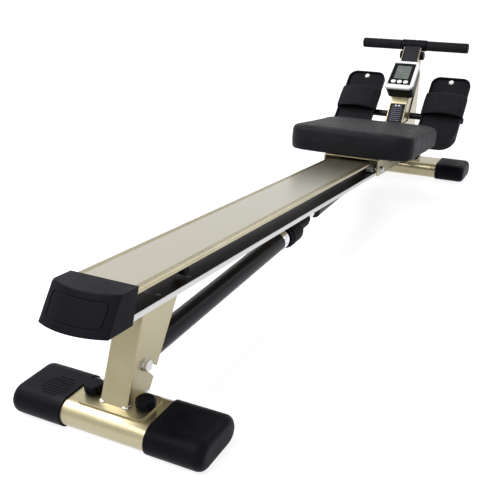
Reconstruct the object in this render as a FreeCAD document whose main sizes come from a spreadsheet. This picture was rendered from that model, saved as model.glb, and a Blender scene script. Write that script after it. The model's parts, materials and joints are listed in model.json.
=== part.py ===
"""Rowing machine: a sloped rail with a rolling seat and one damped pull lever.

World frame in millimetres: +X runs forward along the rail, +Y is the rower's left, +Z is up.
The origin lies on the floor under the middle of the machine's overall box.
Lengths along X are counted from the rear base first, and ORIGIN_X moves them to that origin.
"""
import FreeCAD, Part
import math
import os
import re

import Sketcher

Vector = FreeCAD.Vector
UP = Vector(0, 0, 1)
ACROSS = Vector(0, 1, 0)
AHEAD = Vector(1, 0, 0)
CLOSE = 1e-3

# ---------------------------------------------------------------- driving sizes
SIZES = {
    # bases
    "rear_base_station": 6.0, "base_spacing": 1502.0, "base_width": 104.0, "base_height": 44.0,
    "base_wall": 2.5, "rear_base_length": 343.0, "front_base_length": 417.0,
    "rear_cap_length": 96.0, "front_cap_length": 84.0, "cap_skin": 3.0, "cap_end_radius": 13.0,
    "cap_groove_count": 8.0, "cap_groove_pitch": 6.2, "cap_groove_width": 2.2, "cap_groove_depth": 1.2,
    "cap_patch_length": 52.0, "cap_patch_inset": 31.0, "cap_patch_shift": 13.0,
    "plate_length": 120.0, "plate_width": 66.0, "plate_thickness": 3.0, "plate_corner": 12.0,
    "knob_stud": 12.0, "hole_play": 0.2, "knob_offset": 47.0, "knob_diameter": 31.0, "knob_height": 16.0,
    "knob_lobes": 6.0, "knob_lobe_ring": 36.0, "knob_notch": 8.6, "knob_neck": 23.6, "knob_chamfer": 2.4,
    "base_bolt_diameter": 8.0,
    # rail
    "rail_slope": 5.04, "rail_top": 251.2, "rail_width": 114.0, "rail_height": 42.8,
    "rail_sheet": 2.5, "rail_waist": 66.0, "rail_lip": 6.0, "rail_channel_floor": 33.7,
    "rail_setback": 150.0, "rail_rear": -28.0, "rail_bend": 2.0, "rail_groove_inset": 7.0,
    "rail_groove_depth": 0.8, "rail_groove_width": 1.4, "rail_groove_pitch": 4.0,
    # rear end cap of the rail
    "end_cap_front": -8.0, "end_cap_length": 38.0, "end_cap_rise": 5.5, "end_cap_depth": 47.0,
    "end_cap_rake": 33.0, "end_cap_front_rake": 16.0, "end_cap_bulge": 14.0, "end_cap_side": 1.3,
    "end_cap_edge": 4.0, "end_cap_border": 9.0, "end_cap_groove_width": 2.4, "end_cap_groove_depth": 1.2,
    "end_cap_border_corner": 7.0,
    # rear leg
    "leg_width": 50.0, "leg_sheet": 3.0, "leg_bend": 4.0, "leg_rear_foot": -12.0, "leg_front_foot": 50.0,
    "leg_rear_top": 56.0, "leg_front_top": 158.0, "leg_plate_start": 40.0, "leg_plate_end": 172.0,
    "leg_plate_width": 100.0, "leg_plate_thickness": 4.0, "leg_bolt_offset": 43.0, "leg_bolt_inset": 22.0,
    "hook_slot_width": 10.6, "hook_slot_tilt": 44.0, "hook_slot_reach": 60.0,
    # seat
    "seat_setback": 215.0, "seat_travel": 900.0, "seat_length": 318.0, "seat_width": 332.0,
    "seat_rear_height": 64.0, "seat_front_height": 49.0, "seat_corner": 46.0, "seat_edge": 14.0,
    "seat_board_thickness": 8.0, "seat_board_inset": 52.0, "seat_board_corner": 12.0, "seat_gap": 0.3,
    "bracket_gap": 4.5, "bracket_sheet": 3.0, "bracket_width": 146.0, "bracket_length": 226.0,
    "bracket_drop": 36.0, "bracket_corner": 9.0, "bracket_bend": 4.0, "wheelbase": 162.0,
    "seat_screw_station": 82.0, "seat_screw_offset": 44.0, "seat_screw_head": 2.5,
    "roller_diameter": 25.0, "roller_width": 16.0, "roller_inset": 3.0, "roller_clearance": 0.05,
    "roller_hub_wall": 2.5, "roller_dish": 1.5, "roller_rim_wall": 2.0, "roller_bevel": 0.8,
    "track_gap": 0.15, "axle_diameter": 8.0, "axle_clearance": 0.05, "axle_spacer": 12.0,
    "axle_tip": 1.2, "seat_bolt_diameter": 6.0, "sight_hole": 12.0, "sight_hole_depth": 11.0,
    # stops on the rail
    "stop_diameter": 16.0, "stop_thickness": 12.0, "stop_gap": 0.3, "stop_edge": 1.5,
    # pull lever
    "lever_setback": 97.0, "lever_pivot_z": 160.0, "lever_tilt": 36.87, "lever_width": 54.0,
    "lever_depth": 36.0, "lever_sheet": 2.5, "lever_bend": 3.0, "lever_head_drop": 17.0,
    "lever_web_start": -20.0, "lever_web_drop": 72.0, "crank_length": 75.0, "crank_radius": 14.0,
    "crank_taper": 46.0, "crank_corner": 12.0, "pivot_diameter": 12.0, "bush_diameter": 17.0,
    "bush_flange": 2.0, "bush_depth": 5.0, "pivot_clearance": 0.05, "pin_collar": 2.0,
    "pin_collar_width": 3.0,
    # handle
    "handle_height": 275.0, "handle_length": 323.0, "bar_diameter": 25.0, "grip_diameter": 29.0,
    "grip_gap": 0.3, "grip_edge": 1.5, "hub_length": 79.0, "hub_diameter": 33.0, "hub_edge": 3.0,
    "stem_depth": 25.0, "stem_reach": 79.0, "stem_wall": 2.5, "stem_fit": 0.2, "stem_seat": 2.5,
    "clamp_drop": 34.0, "clamp_diameter": 25.0, "clamp_thickness": 9.0, "clamp_bevel": 1.5,
    "hub_screw_offset": 8.5, "hub_screw_diameter": 5.0, "hub_screw_head": 8.4,
    "hub_screw_height": 4.5, "bar_wall": 2.0, "plug_length": 20.0, "plug_head": 3.0, "plug_bevel": 2.0,
    # front post
    "post_width": 60.4, "post_sheet": 2.5, "post_bend": 3.0, "post_gap": 6.0, "post_foot_setback": 48.0,
    "post_foot_lead": 24.0, "post_top": 303.0, "post_top_depth": 9.0, "tongue_length": 72.0,
    "tongue_depth": 33.0, "tongue_gap": 0.3, "tongue_rise": 20.0, "tongue_heel": 44.0, "ear_top": 176.0,
    "ear_setback": 120.0, "tongue_bolt_spacing": 34.0, "tongue_bolt_inset": 18.0,
    # pedals
    "crossbar_setback": 33.0, "crossbar_z": 186.0, "crossbar_diameter": 19.0, "crossbar_length": 372.0,
    "crossbar_wall": 2.0, "crossbar_plug": 14.0, "crossbar_cap": 3.0, "collar_gap": 0.3,
    "pedal_collar_width": 6.0, "pedal_offset": 131.0, "pedal_tilt": 42.0, "pedal_width": 116.0,
    "pedal_heel": 128.0, "pedal_toe": 124.0, "pedal_stand": 27.0, "pedal_thickness": 5.0,
    "pedal_rim": 6.0, "pedal_rim_width": 4.0, "pedal_corner": 26.0, "heel_corner": 44.0,
    "heel_rise": 26.0, "heel_shoulder": 16.0, "heel_cup": 84.0, "heel_top": 105.0, "pedal_rim_start": 51.0,
    "sleeve_diameter": 26.0, "sleeve_length": 64.0, "sleeve_clearance": 0.08,
    "pedal_bracket_width": 60.0, "pedal_bracket_length": 70.0, "pedal_bracket_sheet": 3.0,
    "rivet_diameter": 15.0, "rivet_shank": 7.5, "rivet_washer": 12.0, "rivet_station": 110.0,
    "rivet_height": 4.0, "strap_width": 64.0, "strap_station": 14.0, "strap_rise": 32.0,
    "strap_thickness": 3.0, "strap_gap": 0.3, "strap_tuck": 14.0, "strap_spring": 4.0,
    # damper
    "damper_pivot_x": 42.0, "damper_pivot_z": 97.0, "cylinder_diameter": 40.0, "cylinder_wall": 2.5,
    "cylinder_start": 34.0, "cylinder_end": 530.0, "eye_diameter": 28.0, "eye_width": 36.0,
    "eye_plug": 14.0, "eye_shoulder": 6.0, "collar_length": 26.0, "collar_diameter": 42.0,
    "collar_plug": 20.0, "collar_edge": 1.0, "dial_ring_length": 8.0, "dial_ring_diameter": 49.0,
    "dial_length": 57.0, "dial_diameter": 54.0, "dial_gap": 0.3, "dial_flutes": 24.0,
    "dial_edge": 3.0, "dial_nose": 11.0, "flute_diameter": 4.9, "flute_lift": 1.4, "flute_start": 8.0,
    "journal_diameter": 26.0, "neck_length": 66.4, "neck_diameter": 30.0, "neck_flange": 8.0,
    "neck_step": 3.0, "neck_nose": 12.0, "rod_diameter": 14.0, "rod_clearance": 0.08,
    "rod_inside": 230.0, "rod_bare": 47.3, "rod_socket": 12.0, "piston_length": 24.0, "piston_gap": 0.3,
    "link_diameter": 30.0, "link_wall": 2.5, "link_edge": 2.0, "link_web": 4.0, "link_end": 52.0,
    "link_plug": 12.0, "lug_width": 20.0, "lug_height": 42.0, "lug_shoulder": 14.0, "lug_nose": 6.0,
    "lug_root": 21.0, "pin_diameter": 10.0, "lug_slot": 28.0, "lug_slot_width": 13.0,
    "damper_bolt_diameter": 10.0,
    # console, in its own tilted frame
    "console_base": 95.6, "console_stand": 69.5, "console_turn": 16.0, "console_length": 108.0,
    "console_width": 90.0, "console_top_width": 84.0, "console_corner": 16.0, "bezel_thickness": 7.0,
    "bezel_edge": 2.5, "housing_inset": 2.0, "housing_foot": 9.7, "face_length": 84.0,
    "face_width": 68.0, "face_top_width": 64.0, "face_start": 14.0, "face_thickness": 2.0,
    "face_depth": 0.8, "screen_length": 52.0, "screen_width": 44.0, "screen_start": 38.0,
    "screen_depth": 1.0, "screen_gap": 0.05, "button_station": 25.0, "button_pitch": 18.5,
    "button_length": 14.5, "button_width": 12.0, "button_rise": 2.0, "button_edge": 1.0,
    "button_flange": 0.8, "button_lip": 1.2, "button_clearance": 0.3,
    "trim_length": 64.0, "trim_width": 46.0, "trim_start": 5.5, "trim_thickness": 1.5,
    "trim_rib_count": 8.0, "trim_rib_pitch": 6.4, "trim_rib_start": 9.0, "trim_rib_width": 2.8,
    "trim_rib_length": 31.0, "trim_rib_height": 1.4,
    # fasteners and tools
    "head_height": 5.5, "head_across": 17.0, "washer_thickness": 1.6, "washer_diameter": 20.0,
    "small_head_across": 12.8, "small_head_height": 4.0, "small_washer_diameter": 16.0,
    "tongue_nut_diameter": 12.0, "overcut": 5.0,
}

# stations along the machine, counted forward from the rear base, that follow from the sizes above
STATIONS = {
    "front_base_station": "rear_base_station + base_spacing",
    "rail_front": "front_base_station - rail_setback",
    "seat_station": "rail_front - seat_setback",
    "lever_pivot_x": "front_base_station - lever_setback",
    "ear_rear": "front_base_station - ear_setback",
    "post_rear_foot": "front_base_station - post_foot_setback",
    "post_front_foot": "front_base_station + post_foot_lead",
    "crossbar_x": "front_base_station - crossbar_setback",
}

doc = FreeCAD.newDocument("rowing_machine")
sheet = doc.addObject("Spreadsheet::Sheet", "Sizes")
cells = {alias: repr(size) for alias, size in SIZES.items()}
cells.update({alias: "=" + formula for alias, formula in STATIONS.items()})
for row, (alias, content) in enumerate(cells.items(), start=1):
    sheet.set("A%d" % row, alias.replace("_", " "))
    sheet.set("B%d" % row, content)
    sheet.setAlias("B%d" % row, alias)
doc.recompute()


# ---------------------------------------------------------------- expressions
def linked(text):
    """Turn plain size names in an expression into links to the sheet."""
    return re.sub(r"[a-z][a-z_]*", lambda word: "Sizes." + word.group() if word.group() in cells
                  else word.group(), text)


def number(text):
    """The value of an expression, in millimetres or degrees."""
    return float(sheet.evalExpression(linked(text)))


def bind(item, target, text):
    item.setExpression(target, linked(text))


# ---------------------------------------------------------------- shared places
SLOPE = "rail_slope * 1 deg"
TILT = "lever_tilt * 1 deg"
HANDLE_X = f"(lever_pivot_x + handle_height * sin({TILT}))"
CAP_REACH = (f"((end_cap_length + end_cap_rake + end_cap_bulge - end_cap_front) * cos({SLOPE})"
             f" + end_cap_depth * sin({SLOPE}))")
MIDDLE = f"({HANDLE_X} + hub_diameter / 2 - {CAP_REACH}) / 2"
BASE_TOP = "(cap_skin + base_height)"
PLATE_TOP = "(cap_skin + base_height + plate_thickness)"
LEVER_TOP = "(handle_height - lever_head_drop)"
CLAMP_PLACE = "(handle_height - clamp_drop)"
STEM_LOW = "(handle_height - stem_reach)"
CRANK_X = f"(lever_pivot_x - crank_length * sin({TILT}))"
CRANK_Z = f"(lever_pivot_z - crank_length * cos({TILT}))"
DAMPER_RUN = f"({CRANK_X} - damper_pivot_x)"
DAMPER_RISE = f"({CRANK_Z} - damper_pivot_z)"
DAMPER_LENGTH = f"sqrt({DAMPER_RUN} ^ 2 + {DAMPER_RISE} ^ 2)"


def world(x="0", y="0", z="0", turn="0"):
    """A frame counted from the rear base, turned about the crosswise axis."""
    return (f"{x} - {MIDDLE}", y, z, turn)


def on_rail(y="0"):
    return world("0", y, "rail_top", "rail_slope")


def on_lever():
    return world("lever_pivot_x", "0", "lever_pivot_z", "lever_tilt")


def on_console():
    x = f"lever_pivot_x + console_base * sin({TILT}) - console_stand * cos({TILT})"
    z = f"lever_pivot_z + console_base * cos({TILT}) + console_stand * sin({TILT})"
    return world(x, "0", z, "lever_tilt + console_turn")


def on_pedal(side):
    return world("crossbar_x", f"{side} * pedal_offset", "crossbar_z", "0 - pedal_tilt")


def on_damper():
    return world("damper_pivot_x", "0", "damper_pivot_z", f"0 deg - atan2({DAMPER_RISE}; {DAMPER_RUN})")


# ---------------------------------------------------------------- modelling helpers
parts = []


def body(label, frame):
    """A named sub-part in its own frame."""
    part = doc.addObject("PartDesign::Body", label)
    part.Label = label
    part.Placement = FreeCAD.Placement(Vector(), FreeCAD.Rotation(ACROSS, 1))
    x, y, z, turn = frame
    bind(part, "Placement.Base.x", x)
    bind(part, "Placement.Base.y", y)
    bind(part, "Placement.Base.z", z)
    bind(part, "Placement.Rotation.Angle", turn)
    parts.append(part)
    return part


def sketch(part, name, plane, at):
    """An empty sketch on one of the part's own planes, shifted in the plane and lifted off it."""
    drawing = part.newObject("Sketcher::SketchObject", f"{part.Label}_{name}")
    base = [item for item in part.Origin.OriginFeatures if item.Role == plane + "_Plane"][0]
    drawing.AttachmentSupport = [(base, "")]
    drawing.MapMode = "FlatFace"
    for letter, text in zip("xyz", at):
        bind(drawing, f"AttachmentOffset.Base.{letter}", text)
    return drawing


def fix(drawing, geometry, point, across, along):
    """Hold one point of a sketch at a place given by two expressions."""
    for kind, text in (("DistanceX", across), ("DistanceY", along)):
        index = drawing.addConstraint(Sketcher.Constraint(kind, geometry, point, number(text)))
        bind(drawing, f"Constraints[{index}]", text)


def outline(part, name, plane, corners, at=("0", "0", "0")):
    """A closed sketch of straight edges through corners given as pairs of expressions."""
    drawing = sketch(part, name, plane, at)
    draw_loop(drawing, corners)
    return drawing


def draw_loop(drawing, corners):
    first = drawing.GeometryCount
    spots = [Vector(number(across), number(along), 0) for across, along in corners]
    count = len(spots)
    for index in range(count):
        drawing.addGeometry(Part.LineSegment(spots[index], spots[(index + 1) % count]), False)
    for index in range(count):
        following = first + (index + 1) % count
        drawing.addConstraint(Sketcher.Constraint("Coincident", first + index, 2, following, 1))
    for index, (across, along) in enumerate(corners):
        fix(drawing, first + index, 1, across, along)


def circles(part, name, plane, centres, diameter, at=("0", "0", "0")):
    """A sketch of equal circles at centres given as pairs of expressions."""
    drawing = sketch(part, name, plane, at)
    for across, along in centres:
        centre = Vector(number(across), number(along), 0)
        index = drawing.addGeometry(Part.Circle(centre, Vector(0, 0, 1), number(diameter) / 2), False)
        fix(drawing, index, 3, across, along)
        size = drawing.addConstraint(Sketcher.Constraint("Diameter", index, number(diameter)))
        bind(drawing, f"Constraints[{size}]", diameter)
    return drawing


def rectangle(wide, high, middle=("0", "0")):
    """Corners of a rectangle about a middle point."""
    across, along = middle
    return [(f"{across} - ({wide}) / 2", f"{along} - ({high}) / 2"),
            (f"{across} + ({wide}) / 2", f"{along} - ({high}) / 2"),
            (f"{across} + ({wide}) / 2", f"{along} + ({high}) / 2"),
            (f"{across} - ({wide}) / 2", f"{along} + ({high}) / 2")]


def hexagon(across_flats):
    """Corners of a hexagon about the sketch's origin."""
    return [(f"({across_flats}) / sqrt(3) * cos({60 * corner} deg)",
             f"({across_flats}) / sqrt(3) * sin({60 * corner} deg)") for corner in range(6)]


def draw_soft_rectangle(drawing, wide, high, corner, middle=("0", "0")):
    """A rectangle with round corners about a middle point."""
    across, along = middle
    draw_rounded(drawing, f"{across} - ({wide}) / 2", f"{across} + ({wide}) / 2",
                 f"({high}) / 2", f"({corner})", f"({corner})", along)


def draw_rounded(drawing, low, high, half, low_corner, high_corner, level="0"):
    """A rectangle with round corners, one radius at its low end and another at its high end."""
    corners = ((low, -1, low_corner, 1, 180), (high, -1, high_corner, -1, 270),
               (high, 1, high_corner, -1, 0), (low, 1, low_corner, 1, 90))
    arcs = []
    for place, edge, radius, inward, start in corners:
        centre = (f"{place} + {inward} * {radius}", f"{level} + {edge} * ({half} - {radius})")
        spot = Vector(number(centre[0]), number(centre[1]), 0)
        size = number(radius)
        arc = Part.ArcOfCircle(Part.Circle(spot, UP, size), math.radians(start), math.radians(start + 90))
        index = drawing.addGeometry(arc, False)
        fix(drawing, index, 3, *centre)
        arcs.append((index, radius, size))
    for number_in_loop, (index, radius, size) in enumerate(arcs):
        following = arcs[(number_in_loop + 1) % len(arcs)][0]
        line = drawing.addGeometry(Part.LineSegment(drawing.getPoint(index, 2),
                                                    drawing.getPoint(following, 1)), False)
        drawing.addConstraint(Sketcher.Constraint("Tangent", index, 2, line, 1))
        drawing.addConstraint(Sketcher.Constraint("Tangent", line, 2, following, 1))
        held = drawing.addConstraint(Sketcher.Constraint("Radius", index, size))
        bind(drawing, f"Constraints[{held}]", radius)


def pad(part, drawing, length, midplane=False, reverse=False):
    feature = part.newObject("PartDesign::Pad", drawing.Name + "_pad")
    feature.Profile = drawing
    bind(feature, "Length", length)
    feature.Midplane = midplane
    feature.Reversed = reverse
    part.Tip = feature
    return feature


def cut(part, drawing, length=None, midplane=True, reverse=False):
    """A pocket of a given length, or right through."""
    feature = part.newObject("PartDesign::Pocket", drawing.Name + "_pocket")
    feature.Profile = drawing
    if length is None:
        feature.Type = "ThroughAll"
    else:
        bind(feature, "Length", length)
    feature.Midplane = midplane
    feature.Reversed = reverse
    part.Tip = feature
    return feature


def turned(part, name, plane, axis, corners, at=("0", "0", "0")):
    """A full turn of a closed outline about one of its sketch's axes."""
    drawing = outline(part, name, plane, corners, at)
    feature = part.newObject("PartDesign::Revolution", drawing.Name + "_turn")
    feature.Profile = drawing
    feature.ReferenceAxis = (drawing, [axis])
    part.Tip = feature
    return feature


def edges_along(shape, direction, chosen=lambda spot: True):
    """Names of straight edges that run along a direction and whose middle is chosen."""
    names = []
    for index, edge in enumerate(shape.Edges, start=1):
        if edge.Curve.TypeId != "Part::GeomLine":
            continue
        middle = edge.valueAt((edge.FirstParameter + edge.LastParameter) / 2)
        heading = edge.tangentAt(edge.FirstParameter)
        if abs(abs(heading.dot(direction)) - 1) < 1e-6 and chosen(middle):
            names.append(f"Edge{index}")
    return names


def rounded(part, feature, names, radius):
    fillet = part.newObject("PartDesign::Fillet", f"{part.Label}_round_{len(part.Group)}")
    fillet.Base = (feature, names)
    bind(fillet, "Radius", radius)
    part.Tip = fillet
    return fillet


def tube_corners(inner, outer, start, end):
    """Profile of a tube about the second axis of its sketch."""
    return [(inner, start), (outer, start), (outer, end), (inner, end)]


def cross_bolt(part, grip, diameter):
    """A bolt along Y, grip long, with a washer, and a hexagon head and nut."""
    half = f"({grip}) / 2"
    seat = f"({half} + washer_thickness)"
    rim = "washer_diameter / 2"
    turned(part, "shank", "XY", "V_Axis", [
        ("0", f"0 - {seat}"), (rim, f"0 - {seat}"), (rim, f"0 - {half}"),
        (f"{diameter} / 2", f"0 - {half}"), (f"{diameter} / 2", half),
        (rim, half), (rim, seat), ("0", seat)])
    pad(part, outline(part, "head", "XZ", hexagon("head_across"), at=("0", "0", seat)), "head_height")
    pad(part, outline(part, "nut", "XZ", hexagon("head_across"),
                      at=("0", "0", f"0 - {seat} - head_height")), "head_height")


# ---------------------------------------------------------------- bases
SIDES = (("left", 1), ("right", -1))
BASES = (("rear", "rear_base_station", "rear_base_length", "rear_cap_length"),
         ("front", "front_base_station", "front_base_length", "front_cap_length"))


def flat_oval(part, name, width, height, at=("0", "0", "0"), plane="XZ"):
    """A stadium-shaped sketch with a flat top and bottom and round ends."""
    drawing = sketch(part, name, plane, at)
    half = f"(({width}) - ({height})) / 2"
    reach = number(half)
    radius = number(height) / 2
    lower = drawing.addGeometry(Part.LineSegment(Vector(-reach, -radius, 0), Vector(reach, -radius, 0)),
                                False)
    front = drawing.addGeometry(Part.Arc(Vector(reach, -radius, 0), Vector(reach + radius, 0, 0),
                                         Vector(reach, radius, 0)), False)
    upper = drawing.addGeometry(Part.LineSegment(Vector(reach, radius, 0), Vector(-reach, radius, 0)), False)
    rear = drawing.addGeometry(Part.Arc(Vector(-reach, radius, 0), Vector(-reach - radius, 0, 0),
                                        Vector(-reach, -radius, 0)), False)
    for line, point, across, along in (
            (lower, 1, f"0 - {half}", f"0 - ({height}) / 2"), (lower, 2, half, f"0 - ({height}) / 2"),
            (upper, 1, half, f"({height}) / 2"), (upper, 2, f"0 - {half}", f"({height}) / 2")):
        fix(drawing, line, point, across, along)
    for one, one_point, other, other_point in ((lower, 2, front, 1), (front, 2, upper, 1),
                                               (upper, 2, rear, 1), (rear, 2, lower, 1)):
        drawing.addConstraint(Sketcher.Constraint("Coincident", one, one_point, other, other_point))
    for arc, across in ((front, half), (rear, f"0 - {half}")):
        index = drawing.addConstraint(Sketcher.Constraint("DistanceX", arc, 3, number(across)))
        bind(drawing, f"Constraints[{index}]", across)
    return drawing


def base_tube(end, station, length):
    part = body(f"{end}_base_tube", world(station, "0", "cap_skin + base_height / 2"))
    inset = f"({length} - 2 * cap_end_radius)"
    pad(part, flat_oval(part, "outer", "base_width", "base_height"), inset, midplane=True)
    hollow = flat_oval(part, "inner", "base_width - 2 * base_wall", "base_height - 2 * base_wall")
    cut(part, hollow)
    bolts = circles(part, "bolt_holes", "XY", [("0", "knob_offset"), ("0", "0 - knob_offset")],
                    "base_bolt_diameter + 2 * hole_play", at=("0", "0", "base_height / 2"))
    cut(part, bolts, "base_wall * 2")


def base_caps():
    """Moulded end caps: rounded shells over the tubes, ribbed on top, with a flat underside."""
    part = body("base_caps", world("0", "0", "cap_skin + base_height / 2"))
    for end, station, length, reach in BASES:
        for side_name, side in SIDES:
            base_cap(part, f"{end}_{side_name}", station, f"{side} * ({length} / 2 - {reach})", reach, side)


def base_cap(part, name, station, middle, reach, side):
    """One cap: it starts at middle and runs outward by its reach."""
    place = (station, "0", f"0 - {middle}")
    shell = pad(part, flat_oval(part, name, "base_width + 2 * cap_skin", "base_height + 2 * cap_skin",
                                at=place), reach, reverse=side > 0)
    doc.recompute()
    limit = number(middle) + side * number(reach)
    far = [f"Edge{index}" for index, edge in enumerate(shell.Shape.Edges, start=1)
           if abs(edge.CenterOfMass.y - limit) < CLOSE
           and abs(edge.CenterOfMass.x - number(station)) < number("base_width")]
    rounded(part, shell, far, "cap_end_radius")
    bore = flat_oval(part, name + "_socket", "base_width", "base_height", at=place)
    cut(part, bore, f"{reach} - cap_end_radius", midplane=False, reverse=side < 0)
    grooves = sketch(part, name + "_grooves", "XY", ("0", "0", "base_height / 2 + cap_skin"))
    for index in range(int(number("cap_groove_count"))):
        shift = f"({index} - (cap_groove_count - 1) / 2)"
        across = f"{station} - cap_patch_shift + {shift} * cap_groove_pitch"
        half = f"(cap_patch_length / 2 * sqrt(1 - ({shift} / (cap_groove_count / 2)) ^ 2))"
        draw_loop(grooves, rectangle("cap_groove_width", f"2 * {half}",
                                     (across, f"{middle} + {side} * cap_patch_inset")))
    cut(part, grooves, "cap_groove_depth", midplane=False)


def rounded_plate(part, name, long, wide, corner, thickness, at):
    """A plate with its long side along Y and round corners."""
    plate = pad(part, outline(part, name, "XY", rectangle(wide, long), at), thickness)
    doc.recompute()
    rounded(part, plate, edges_along(plate.Shape, UP), corner)


def base_plates():
    """The plate under the foot of each upright."""
    part = body("base_plates", world("0", "0", BASE_TOP))
    for end, station, _, _ in BASES:
        rounded_plate(part, end, "plate_length", "plate_width", "plate_corner", "plate_thickness",
                      (station, "0", "0"))
        cut(part, circles(part, end + "_bolt_holes", "XY",
                          [(station, f"{side} * knob_offset") for _, side in SIDES],
                          "base_bolt_diameter + 2 * hole_play"))


def base_knobs():
    """Four lobed hand knobs whose studs hold the uprights to the bases."""
    part = body("base_knobs", world("0", "0", PLATE_TOP))
    stud = "(0 - plate_thickness - base_wall - knob_stud)"
    crown = "knob_height - knob_chamfer"
    shoulder = "(washer_thickness + knob_chamfer)"
    for end, station, _, _ in BASES:
        for side_name, side in SIDES:
            name = f"{end}_{side_name}"
            spot = f"{side} * knob_offset"
            turned(part, name, "XZ", "V_Axis", [
                ("0", stud), ("base_bolt_diameter / 2", stud), ("base_bolt_diameter / 2", "0"),
                ("washer_diameter / 2", "0"), ("washer_diameter / 2", "washer_thickness"),
                ("knob_neck / 2", "washer_thickness"), ("knob_diameter / 2", shoulder),
                ("knob_diameter / 2", crown), ("knob_diameter / 2 - knob_chamfer", "knob_height"),
                ("0", "knob_height")], at=(station, "0", f"0 - {spot}"))
            lobes = int(number("knob_lobes"))
            spots = [(f"{station} + knob_lobe_ring / 2 * cos({360 / lobes * lobe} deg)",
                      f"{spot} + knob_lobe_ring / 2 * sin({360 / lobes * lobe} deg)")
                     for lobe in range(lobes)]
            notches = circles(part, name + "_notches", "XY", spots, "knob_notch", at=("0", "0", shoulder))
            cut(part, notches, "knob_height", midplane=False, reverse=True)


# ---------------------------------------------------------------- rail
TONGUE_BOLT_DEPTH = "((rail_sheet + rail_channel_floor) / 2)"


def tongue_bolt_stations():
    return [f"(rail_front - tongue_bolt_inset - {index} * tongue_bolt_spacing)" for index in range(2)]


def rail_section():
    """The left half of the folded section, from the edge of the top to the inside of the waist."""
    half = "rail_width / 2"
    inside = "rail_width / 2 - rail_sheet"
    waist = "rail_waist / 2"
    return [(half, "0"), (half, "0 - rail_lip"),
            (inside, "0 - rail_lip"), (inside, "0 - rail_sheet"), (waist, "0 - rail_sheet"),
            (waist, "0 - rail_channel_floor"), (half, "0 - rail_channel_floor"), (half, "0 - rail_height"),
            (inside, "0 - rail_height"), (inside, "0 - rail_channel_floor - rail_sheet"),
            (f"{waist} - rail_sheet", "0 - rail_channel_floor - rail_sheet"),
            (f"{waist} - rail_sheet", "0 - rail_sheet")]


def rail_beam():
    part = body("rail_beam", on_rail())
    right = rail_section()
    left = [(f"0 - ({across})", along) for across, along in reversed(right)]
    shape = outline(part, "section", "YZ", right + left, at=("0", "0", "rail_rear"))
    beam = pad(part, shape, "rail_front - rail_rear")
    doc.recompute()
    edge = number("rail_width / 2")
    bends = edges_along(beam.Shape, AHEAD, lambda spot: abs(abs(spot.y) - edge) < CLOSE and (
        abs(spot.z) < CLOSE or abs(spot.z + number("rail_channel_floor")) < CLOSE))
    rounded(part, beam, bends, "rail_bend")
    grooves = sketch(part, "grooves", "YZ", ("0", "0", "0"))
    for _, side in SIDES:
        for index in range(2):
            across = f"{side} * (rail_width / 2 - rail_groove_inset - {index} * rail_groove_pitch)"
            draw_loop(grooves, rectangle("rail_groove_width", "2 * rail_groove_depth", (across, "0")))
    cut(part, grooves)
    holes = [(station, f"0 - {TONGUE_BOLT_DEPTH}") for station in tongue_bolt_stations()]
    cut(part, circles(part, "front_bolt_holes", "XZ", holes, "base_bolt_diameter + 2 * hole_play"))
    spots = [(station, f"{side} * leg_bolt_offset") for _, station in LEG_SCREW_STATIONS
             for _, side in SIDES]
    feet = circles(part, "leg_bolt_holes", "XY", spots, "base_bolt_diameter + 2 * hole_play",
                   at=("0", "0", "0 - rail_channel_floor + rail_sheet"))
    cut(part, feet, "3 * rail_sheet", midplane=False)


def cap_form(part, name, setback):
    """A loft from an upper to a lower outline, both bowed to the rear, its rear face set back."""
    half = "(rail_width / 2 + end_cap_side)"
    profiles = []
    for level, front, rear, height in (
            ("upper", "end_cap_front", "end_cap_front - end_cap_length", "end_cap_rise"),
            ("lower", "end_cap_front - end_cap_front_rake",
             "end_cap_front - end_cap_length - end_cap_rake", "0 - end_cap_depth")):
        drawing = sketch(part, f"{name}_{level}", "XY", ("0", "0", height))
        corner = f"({rear} + {setback})"
        side = number(half)
        near, far = number(front), number(corner)
        bow = far - number("end_cap_bulge")
        one = drawing.addGeometry(Part.LineSegment(Vector(far, side, 0), Vector(near, side, 0)), False)
        two = drawing.addGeometry(Part.LineSegment(Vector(near, side, 0), Vector(near, -side, 0)), False)
        three = drawing.addGeometry(Part.LineSegment(Vector(near, -side, 0), Vector(far, -side, 0)), False)
        four = drawing.addGeometry(Part.Arc(Vector(far, -side, 0), Vector(bow, 0, 0), Vector(far, side, 0)),
                                   False)
        fix(drawing, one, 1, corner, half)
        fix(drawing, one, 2, front, half)
        fix(drawing, three, 1, front, f"0 - {half}")
        fix(drawing, three, 2, corner, f"0 - {half}")
        for first, first_end, second, second_end in ((one, 2, two, 1), (two, 2, three, 1)):
            drawing.addConstraint(Sketcher.Constraint("Coincident", first, first_end, second, second_end))
        ends = sorted(((abs(drawing.getPoint(four, end).y + side), end) for end in (1, 2)))
        drawing.addConstraint(Sketcher.Constraint("Coincident", three, 2, four, ends[0][1]))
        drawing.addConstraint(Sketcher.Constraint("Coincident", four, ends[1][1], one, 1))
        radius = f"({half} ^ 2 + end_cap_bulge ^ 2) / (2 * end_cap_bulge)"
        size = drawing.addConstraint(Sketcher.Constraint("Radius", four, number(radius)))
        bind(drawing, f"Constraints[{size}]", radius)
        profiles.append(drawing)
    loft = part.newObject("PartDesign::AdditiveLoft", f"end_cap_{name}")
    loft.Profile = profiles[0]
    loft.Sections = [profiles[1]]
    part.Tip = loft
    doc.recompute()
    return loft


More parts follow.
